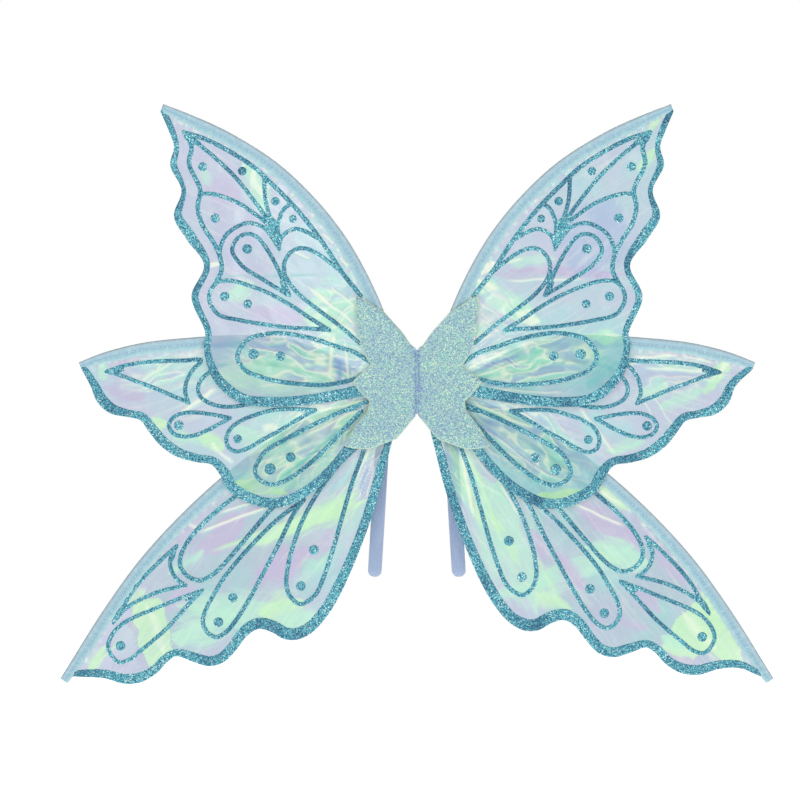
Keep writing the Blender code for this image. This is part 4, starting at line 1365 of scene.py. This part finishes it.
def add_tube(name, rings, material, painted, side=1, smooth=True):
    """A closed tube through rings of points, painted with each ring's own numbers."""
    count = len(rings[0])
    faces = tube_faces(len(rings), count)[:, ::side]
    piece = add_piece(name, np.vstack(rings), faces, material, smooth)
    work = bmesh.new()
    work.from_mesh(piece.data)
    work.verts.ensure_lookup_table()
    for first, turn in ((0, -side), ((len(rings) - 1) * count, side)):
        work.faces.new([work.verts[first + corner] for corner in range(count)][::turn])
    bmesh.ops.recalc_face_normals(work, faces=work.faces)
    work.to_mesh(piece.data)
    work.free()
    for attribute, values in painted.items():
        paint(piece, attribute, np.concatenate(values))
    return piece


STITCH_RADIUS = 0.26
STITCH_LENGTHS = {"casing": 2.1, "cover": 2.0, "panel": 1.9, "tab": 1.5}
TAB_STITCH_RADIUS = 0.2


def add_stitches(name, centres, directions, facing, length, material, radius=STITCH_RADIUS):
    """Short arched threads, one at each centre, on a face that looks along Y or against it."""
    sides, rings = 6, 5
    at = np.linspace(-1, 1, rings)
    thick = radius * np.sqrt(np.maximum(0.12, 1 - at ** 4))
    arch = 0.22 * (1 - at ** 2) - 0.12
    turns = np.arange(sides) * 2 * pi / sides
    normal = np.array([0.0, facing, 0.0])
    points = []
    for centre, direction in zip(centres, directions):
        beside = np.cross(direction, normal)
        for ring in range(rings):
            ring_centre = centre + direction * at[ring] * length / 2 + normal * arch[ring]
            points.append(ring_centre + thick[ring] * (np.cos(turns)[:, None] * beside
                                                       + np.sin(turns)[:, None] * normal))
    one = tube_faces(rings, sides)
    faces = [one + number * rings * sides for number in range(len(centres))]
    return add_piece(name, np.vstack(points), np.vstack(faces)[:, ::-1], material)


def stitch_line(line, depth, pitch, side=1):
    """Centres and directions of stitches along a flat (outwards, up) line."""
    even = respaced(np.asarray(line, float), pitch)
    middles = (even[:-1] + even[1:]) / 2
    runs = np.diff(even, axis=0)
    runs /= np.linalg.norm(runs, axis=1)[:, None]
    centres = in_layer(side, middles, np.full(len(middles), depth))
    directions = np.stack([side * runs[:, 0], np.zeros(len(runs)), runs[:, 1]], axis=1)
    return centres, directions


def add_casing_stitches(level, side_name, lines, material):
    side = SIDES[side_name]
    line = (lines["leading"] + lines["normals"] * STITCH_ACROSS)[CASING_STITCHED]
    depth = layer_middle(level, side_name) - CASING_STITCH_LIFT
    centres, directions = stitch_line(line, depth, STITCH_PITCH, side)
    return add_stitches(f"{level}_{side_name}_casing_stitches", centres, directions, -1,
                        STITCH_LENGTHS["casing"], material)


def build_wings(materials):
    for level in LEVELS:
        for side_name in SIDES:
            lines = wing_outline(level, side_name)
            wing = (level, side_name, lines)
            film = add_film(*wing, filled(lines["outline"], FILM_GRID), materials["film"])
            border = add_glitter("border", *wing, border_shape(lines), materials["glitter"])
            veins = add_glitter("veins", *wing, vein_shape(level, lines), materials["glitter"])
            casing = add_casing(*wing, materials["casing"])
            stitches = add_casing_stitches(*wing, materials["thread"])
            for piece in (film, border, veins, casing, stitches):
                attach(piece, f"{level}_{side_name}_wing")
            for piece, ending in ((film, "film"), (border, "glitter_border"),
                                  (casing, "edge_casing")):
                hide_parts(f"{level}_{side_name}_{ending}")


# ---------------------------------------------------------------------------------------------
# Body pad, back and straps
# ---------------------------------------------------------------------------------------------
def pad_outline():
    runs = [smooth_curve(run)[:-1] for run in PAD_RUNS]
    return np.vstack([*runs, PAD_RUNS[-1][-1:]])


def pad_forward(points, edge, seed):
    """How far a pad half's front stands forward: softly domed, pinched and gathered."""
    u, z = points[:, 0], points[:, 1]
    from_seam = u - SEAM_EDGE
    inner = np.where(from_seam < 3.5, 3.5, edge)
    rise = 1 - np.exp(-np.maximum(edge, np.where(from_seam < 2.5, inner, 0)) / 1.6)
    forward = -0.85 + rise + 0.22 * noise(u / 14, z / 14, seed)
    forward += 0.35 * np.exp(-from_seam / 7) * noise(z / 2.1, u / 9, seed + 1)
    forward += 0.22 * np.exp(-((from_seam - 9) / 6) ** 2) * noise(u / 2.6, z / 16, seed + 2)
    forward -= 0.65 * np.exp(-(from_seam / 1.6) ** 2)
    forward += np.random.default_rng(seed).uniform(-0.5, 0.5, len(points)) * PAD_GRAIN
    return np.clip(forward, -1.1, PAD_FORWARD_LIMIT)


def add_front_pad(side_name, shape, material):
    """One half of the glitter body, with painted shade making it bluer towards the seam and where
    it dips back, and pale along its cut edge.
    """
    side = SIDES[side_name]
    points, triangles, edge = shape
    u, z = points[:, 0], points[:, 1]
    front, back = depths(f"{side_name}_front_glitter_pad")
    seed = 60 + side
    forward = pad_forward(points, edge, seed)
    place, faces = closed_sheet(side, points, triangles, front - forward, np.full(len(u), back))
    pad = add_piece(f"{side_name}_glitter_pad_cover", place, faces, material,
                    smooth=False)
    from_seam = u - SEAM_EDGE
    # painted shade: bluer towards the seam and where the front dips back, in soft random patches
    shade = 0.12 + 0.25 * noise(u / 11, z / 13, seed + 3) + 0.45 * np.exp(-from_seam / 4.0)
    shade += 0.2 * smoothstep(0.0, -0.3, forward)
    cut_edge = 0.7 * (1 - smoothstep(0.2, 1.0, edge)) * (from_seam > 2)
    paint(pad, "shade", np.tile(np.clip(shade, 0, 1), 2))
    paint(pad, "cut_edge", np.concatenate([cut_edge, np.ones(len(u)) * 0.6]))
    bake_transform(pad)
    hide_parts(f"{side_name}_front_glitter_pad")


def add_seam(material):
    """The gathered ridge down the middle, coloured with the pad's painted shade."""
    low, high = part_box("centre_seam")
    bottom, top = low.z / MM, high.z / MM
    front, back = low.y / MM, high.y / MM
    half = high.x / MM
    heights = np.arange(bottom, top + 0.01, 0.6)
    turns = np.linspace(0, pi, 11)
    rings = []
    rng = np.random.default_rng(5)
    for height in heights:
        to_end = min(height - bottom, top - height)
        round_off = min(1.0, 0.35 + to_end / 5)
        gather = 1 + 0.16 * float(noise(np.array([height / 1.5]), np.array([0.5]), 31)[0])
        width = (half + 0.15) * round_off * gather
        rise = 0.75 * round_off * gather + rng.uniform(-0.05, 0.05)
        arc = np.stack([width * np.cos(turns), front + 0.45 - rise * np.sin(turns),
                        np.full(len(turns), height)], axis=1)
        rear = np.array([[-width, back, height], [width, back, height]])
        rings.append(np.vstack([arc, rear]))
    # painted shade: the seam takes the pad's bluer shaded flakes
    painted = {"shade": [np.full(len(ring), 0.9) for ring in rings],
               "cut_edge": [np.zeros(len(ring)) for ring in rings]}
    seam = add_tube("gathered_centre_seam", rings, material, painted,
                    smooth=False)
    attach(seam, "root")
    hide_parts("centre_seam")


COVER_SEAM_INSET = 3.2          # the rear cover's top-stitching, from its edge
COVER_STITCH_PITCH = 3.0
COVER_SEAM_CLEAR = 3            # no top-stitching nearer the middle than this
PANEL_HEM_INSET = 2.6
PANEL_STITCH_PITCH = 2.8


def add_rear_cover(side_name, shape, material, thread):
    """Matt backing under each pad half, turned in at its edge and top-stitched."""
    side = SIDES[side_name]
    points, triangles, edge = shape
    u, z = points[:, 0], points[:, 1]
    front, back = depths(f"{side_name}_rear_pad_cover")
    seed = 80 + side
    rise = 1 - np.exp(-edge / 1.2)
    dent = 0.22 * np.exp(-((edge - COVER_SEAM_INSET) / 0.8) ** 2)
    rear = back - 0.45 * (1 - rise) + 0.12 * noise(u / 12, z / 12, seed) - dent - 0.1
    near = front + 0.3 * (1 - rise)
    place, faces = closed_sheet(side, points, triangles, near, rear)
    cover = add_piece(f"{side_name}_rear_cover_felt", place, faces, material)
    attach(cover, f"{side_name}_half")
    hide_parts(f"{side_name}_rear_pad_cover")
    outline = pad_outline()
    inset = outline + inward_normals(outline) * COVER_SEAM_INSET
    beside_seam = inset[inset[:, 0] > COVER_SEAM_CLEAR]
    centres, directions = stitch_line(beside_seam, back - 0.16, COVER_STITCH_PITCH, side)
    stitches = add_stitches(f"{side_name}_rear_cover_stitches", centres, directions, 1,
                            STITCH_LENGTHS["cover"], thread)
    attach(stitches, f"{side_name}_half")


def mirrored(half):
    """A closed outline from its right half, whose first and last points are on the middle."""
    half = np.array(half, float)
    return np.vstack([half, half[1:-1][::-1] * [-1, 1]])


def rounded(outline, per_corner=5, cut=2.2):
    """The outline with each corner replaced by a short curve."""
    points = []
    for before, here, after in zip(np.roll(outline, 1, 0), outline, np.roll(outline, -1, 0)):
        into, out = before - here, after - here
        reach = min(cut, np.linalg.norm(into) * 0.45, np.linalg.norm(out) * 0.45)
        start = here + into / np.linalg.norm(into) * reach
        end = here + out / np.linalg.norm(out) * reach
        for at in np.linspace(0, 1, per_corner):
            points.append((1 - at) ** 2 * start + 2 * at * (1 - at) * here + at ** 2 * end)
    return np.array(points)


def add_back_panel(material, thread):
    """The hemmed fabric panel that lies on the wearer's back."""
    outline = rounded(mirrored(BACK_PANEL_HALF))
    points, triangles, edge = filled(outline, FABRIC_GRID)
    front, back = depths("back_panel")
    rise = 1 - np.exp(-edge / 0.7)
    dent = 0.16 * np.exp(-((edge - PANEL_HEM_INSET) / 0.6) ** 2)
    rear = back - 0.4 * (1 - rise) - dent
    near = front + 0.35 * (1 - rise)
    place, faces = closed_sheet(1, points, triangles, near, rear)
    panel = add_piece("hemmed_back_panel", place, faces, material)
    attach(panel, "root")
    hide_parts("back_panel")
    hem = np.vstack([outline, outline[:1]])
    hem = hem + inward_normals(hem) * PANEL_HEM_INSET
    centres, directions = stitch_line(hem, back - 0.14, PANEL_STITCH_PITCH)
    stitches = add_stitches("back_panel_hem_stitches", centres, directions, 1,
                            STITCH_LENGTHS["panel"], thread)
    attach(stitches, "root")


def add_foam(material):
    """The soft core between the seam and the back panel."""
    outline = rounded(mirrored(FOAM_HALF))
    points, triangles, edge = filled(outline, FABRIC_GRID)
    u, z = points[:, 0], points[:, 1]
    front, back = depths("back_pad_foam")
    rise = np.sqrt(1 - (1 - np.clip(edge / 1.5, 0, 1)) ** 2)
    bumps = 0.06 * noise(u / 1.6, z / 1.6, 44)
    near = (front + back) / 2 - (back - front) / 2 * (0.15 + 0.85 * rise) + bumps
    rear = (front + back) / 2 + (back - front) / 2 * (0.15 + 0.85 * rise) - 0.05
    place, faces = closed_sheet(1, points, triangles, near, rear)
    foam = add_piece("back_pad_foam_core", place, faces, material)
    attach(foam, "root")
    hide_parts("back_pad_foam")


class StrapPlane:
    """Where a strap's own coordinates lie: down its line, away from the body, and sideways."""

    def __init__(self, side_name):
        self.side = SIDES[side_name]
        joint = next(j for j in frame["joints"] if j["name"] == f"{side_name}_strap_swing")
        self.top = np.array(joint["pos_m"], float) / MM
        self.down = np.array([self.side * sin(STRAP_LEAN), 0, -cos(STRAP_LEAN)])
        self.across = np.array([self.side * cos(STRAP_LEAN), 0, sin(STRAP_LEAN)])

    def place(self, along, away, sideways):
        along, away, sideways = np.broadcast_arrays(along, away, sideways)
        return (self.top + along[..., None] * self.down + sideways[..., None] * self.across
                + away[..., None] * np.array([0, 1.0, 0]))


RIBS = 9
STRAP_STEP = 1.4
FOLD_ROUNDING = 4.4             # the strap's corners are pressed round where it is folded


def ribbon_section(width, thick):
    """Round a ribbed ribbon: (sideways, out of its face), face by face."""
    across = np.linspace(-1, 1, RIBS * 4 + 1)
    ribs = 0.10 * np.cos(across * pi * RIBS)
    edge = np.sqrt(np.maximum(0, 1 - np.abs(across) ** 14))
    face = (thick / 2 - 0.12 + ribs) * edge
    sideways = across * width / 2
    return (np.concatenate([sideways, sideways[-2:0:-1]]),
            np.concatenate([face, -face[-2:0:-1]]))


def add_strap(side_name, material):
    """The elastic loop: it leaves the upper tab, goes round the arm and comes back."""
    plane = StrapPlane(side_name)
    loop = respaced(smooth_curve(STRAP_LOOP), STRAP_STEP)
    normals = -inward_normals(loop)
    normals[0], normals[-1] = (0, 1), (0, -1)
    s = lengths_along(loop)
    bottom = loop[:, 0].max()
    rings, across_values, along_values = [], [], []
    for (along, away), normal, here in zip(loop, normals, s):
        short = max(0.0, FOLD_ROUNDING - (bottom - along))
        tuck = FOLD_ROUNDING - (FOLD_ROUNDING ** 2 - short ** 2) ** 0.5
        sideways, face = ribbon_section(STRAP_WIDTH - 2 * tuck, STRAP_THICK)
        rings.append(plane.place(along + normal[0] * face, away + normal[1] * face, sideways))
        across_values.append(sideways)
        along_values.append(np.full(len(sideways), here))
    strap = add_tube(f"{side_name}_elastic_strap", rings, material,
                     {"across": across_values, "along": along_values})
    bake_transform(strap)
    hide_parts(f"{side_name}_shoulder_strap")


TAB_HALF_LENGTH = 7.0
TAB_BOX_INSET = (1.6, 1.4)      # the box of stitches, from the tab's ends and sides


def add_tab(side_name, level, material, thread):
    """A sewn-down strap end."""
    plane = StrapPlane(side_name)
    node = f"{side_name}_strap_{level}_tab"
    low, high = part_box(node)
    middle = np.array([(low[i] + high[i]) / 2 / MM for i in range(3)]) - plane.top
    centre = middle @ plane.down
    half_length = TAB_HALF_LENGTH
    thick = (high.y - low.y) / MM
    y_middle = (low.y + high.y) / 2 / MM - plane.top[1]
    rings, across_values, along_values = [], [], []
    for along in np.linspace(-half_length, half_length, 15):
        squeeze = 1 - 0.12 * smoothstep(half_length - 1, half_length, abs(along))
        press = 1 - 0.25 * np.exp(-((abs(along) - half_length + TAB_BOX_INSET[0]) / 0.7) ** 2)
        sideways, face = ribbon_section(STRAP_WIDTH, thick)
        rings.append(plane.place(centre + along, y_middle + face * squeeze * press, sideways))
        across_values.append(sideways)
        along_values.append(np.full(len(sideways), along))
    tab = add_tube(f"{side_name}_{level}_sewn_tab", rings, material,
                   {"across": across_values, "along": along_values})
    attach(tab, "root")
    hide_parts(node)
    centres, directions = crossed_box(plane, centre, y_middle + thick / 2 + 0.02)
    stitches = add_stitches(f"{side_name}_{level}_tab_stitches", centres, directions, 1,
                            STITCH_LENGTHS["tab"], thread, radius=TAB_STITCH_RADIUS)
    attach(stitches, "root")


def crossed_box(plane, centre, away):
    """Centres and directions of a tab's stitches: a box with both its diagonals."""
    a, b = TAB_HALF_LENGTH - TAB_BOX_INSET[0], STRAP_WIDTH / 2 - TAB_BOX_INSET[1]
    box = [(-a, -b), (a, -b), (a, b), (-a, b), (-a, -b), (a, b), (a, -b), (-a, b)]
    centres, directions = [], []
    for start, end in zip(box, box[1:]):
        start, end = np.array(start), np.array(end)
        count = max(2, int(np.linalg.norm(end - start) / 2.0))
        run = (end - start) / np.linalg.norm(end - start)
        for at in (np.arange(count) + 0.5) / count:
            point = start + (end - start) * at
            centres.append(plane.place(centre + point[0], away, point[1]))
            directions.append(run[0] * plane.down + run[1] * plane.across)
    return centres, directions


# ---------------------------------------------------------------------------------------------
# Carried-over CAD nodes, stage, lights and camera
# ---------------------------------------------------------------------------------------------
def dress_cad_nodes(materials):
    """Better finishes for the wires, their tips and the stiffener cards."""
    for name, node in frame["nodes"].items():
        for ending, material in (("frame_wire", "wire"), ("wire_tip", "tip"),
                                 ("stiffener_card", "card")):
            if name.endswith(ending):
                node.data.materials.clear()
                node.data.materials.append(materials[material])


FLOOR_GLOW = 0.62               # keeps the floor as pale as the backdrop
FLOOR_BELOW = 0.35              # so far under the wings that they hang free of it
FLOOR_HALF = 9.0


def add_stage():
    height, half = CAD_BOX[0].z - FLOOR_BELOW, FLOOR_HALF
    mesh = bpy.data.meshes.new("studio_floor")
    corners = [(-half, -half), (half, -half), (half, half), (-half, half)]
    mesh.from_pydata([(x, y, height) for x, y in corners], [], [(0, 1, 2, 3)])
    nodes = Nodes("studio_floor_white")
    nodes.set(Base_Color=(0.9, 0.9, 0.9, 1), Roughness=0.9,
              Emission_Color=(1, 1, 1, 1), Emission_Strength=FLOOR_GLOW)
    mesh.materials.append(nodes.material)
    floor = bpy.data.objects.new("studio_floor", mesh)
    bpy.context.scene.collection.objects.link(floor)


LIGHT_WORLD = 0.42


def set_world():
    """Soft light from all round, in front of a plain white background."""
    world = bpy.data.worlds.new("studio")
    bpy.context.scene.world = world
    world.use_nodes = True
    tree = world.node_tree
    seen = tree.nodes["Background"]
    seen.inputs["Color"].default_value = (1, 1, 1, 1)
    seen.inputs["Strength"].default_value = 1.0
    lit = tree.nodes.new("ShaderNodeBackground")
    lit.inputs["Color"].default_value = (1, 1, 1, 1)
    lit.inputs["Strength"].default_value = LIGHT_WORLD
    path = tree.nodes.new("ShaderNodeLightPath")
    mix = tree.nodes.new("ShaderNodeMixShader")
    tree.links.new(path.outputs["Is Camera Ray"], mix.inputs["Fac"])
    tree.links.new(lit.outputs[0], mix.inputs[1])
    tree.links.new(seen.outputs[0], mix.inputs[2])
    tree.links.new(mix.outputs[0], tree.nodes["World Output"].inputs["Surface"])


SOFTBOX_TARGET = (0, 0, -0.02)
SOFTBOXES = (                   # name, place, (width, height), watts
    ("key_softbox", (-0.9, -1.9, 1.3), (0.9, 0.9), 11),
    ("fill_softbox", (1.3, -1.7, 0.2), (0.5, 1.2), 5.5),
    ("front_strip", (-0.15, -2.1, 0.5), (0.25, 0.8), 3.5),
    ("rear_softbox", (0.4, 2.2, 1.2), (1.2, 1.2), 22),
)


def add_lights():
    for name, place, size, watts in SOFTBOXES:
        light = bpy.data.lights.new(name, "AREA")
        light.shape = "RECTANGLE"
        light.size, light.size_y = size
        light.energy = watts
        lamp = bpy.data.objects.new(name, light)
        lamp.location = place
        away = np.array(place) - np.array(SOFTBOX_TARGET)
        lamp.rotation_mode = "QUATERNION"
        lamp.rotation_quaternion = Vector(away).to_track_quat("Z", "Y")
        lamp.visible_camera = False
        bpy.context.scene.collection.objects.link(lamp)


CAMERA_LENS = 85
CAMERA_SENSOR = 36
CAMERA_DISTANCE = 1.511         # from the middle of the wings' stack
CAMERA_ASIDE, CAMERA_UP = -0.0136, -0.0146
WING_STACK_DEPTH = -0.013


def add_camera():
    """Straight on, as far back as a long lens needs."""
    camera = bpy.data.cameras.new("camera")
    camera.lens = CAMERA_LENS
    camera.sensor_width = CAMERA_SENSOR
    camera.clip_start = 0.05
    seen_from = bpy.data.objects.new("camera", camera)
    seen_from.location = (CAMERA_ASIDE, WING_STACK_DEPTH - CAMERA_DISTANCE, CAMERA_UP)
    seen_from.rotation_euler = (radians(90), 0, 0)
    bpy.context.scene.collection.objects.link(seen_from)
    bpy.context.scene.camera = seen_from
    bpy.context.scene.view_settings.view_transform = "Standard"


def main():
    materials = {
        "film": film_material(), "glitter": glitter_material(), "pad": pad_glitter_material(),
        "casing": casing_material(), "thread": thread_material(), "elastic": elastic_material(),
        "backing": fabric_material("backing_pale_blue", "A9C6DC", "86A8C6", 900),
        "panel": fabric_material("panel_pale_blue", "B4CBE0", "8FADCB", 900),
        "foam": foam_material(), "wire": wire_material(),
        "tip": plastic_material("vinyl_tip_clear", "C9D6E2"),
        "card": plastic_material("stiffener_sheet_white", "DCE2E8"),
    }
    build_wings(materials)
    front_shape = filled(pad_outline(), PAD_GRID)
    rear_shape = filled(pad_outline(), FABRIC_GRID)
    for side_name in SIDES:
        add_front_pad(side_name, front_shape, materials["pad"])
        add_rear_cover(side_name, rear_shape, materials["backing"], materials["thread"])
        add_strap(side_name, materials["elastic"])
        for level in ("upper", "lower"):
            add_tab(side_name, level, materials["elastic"], materials["thread"])
    add_seam(materials["pad"])
    add_back_panel(materials["panel"], materials["thread"])
    add_foam(materials["foam"])
    dress_cad_nodes(materials)
    add_stage()
    set_world()
    add_lights()
    add_camera()


main()
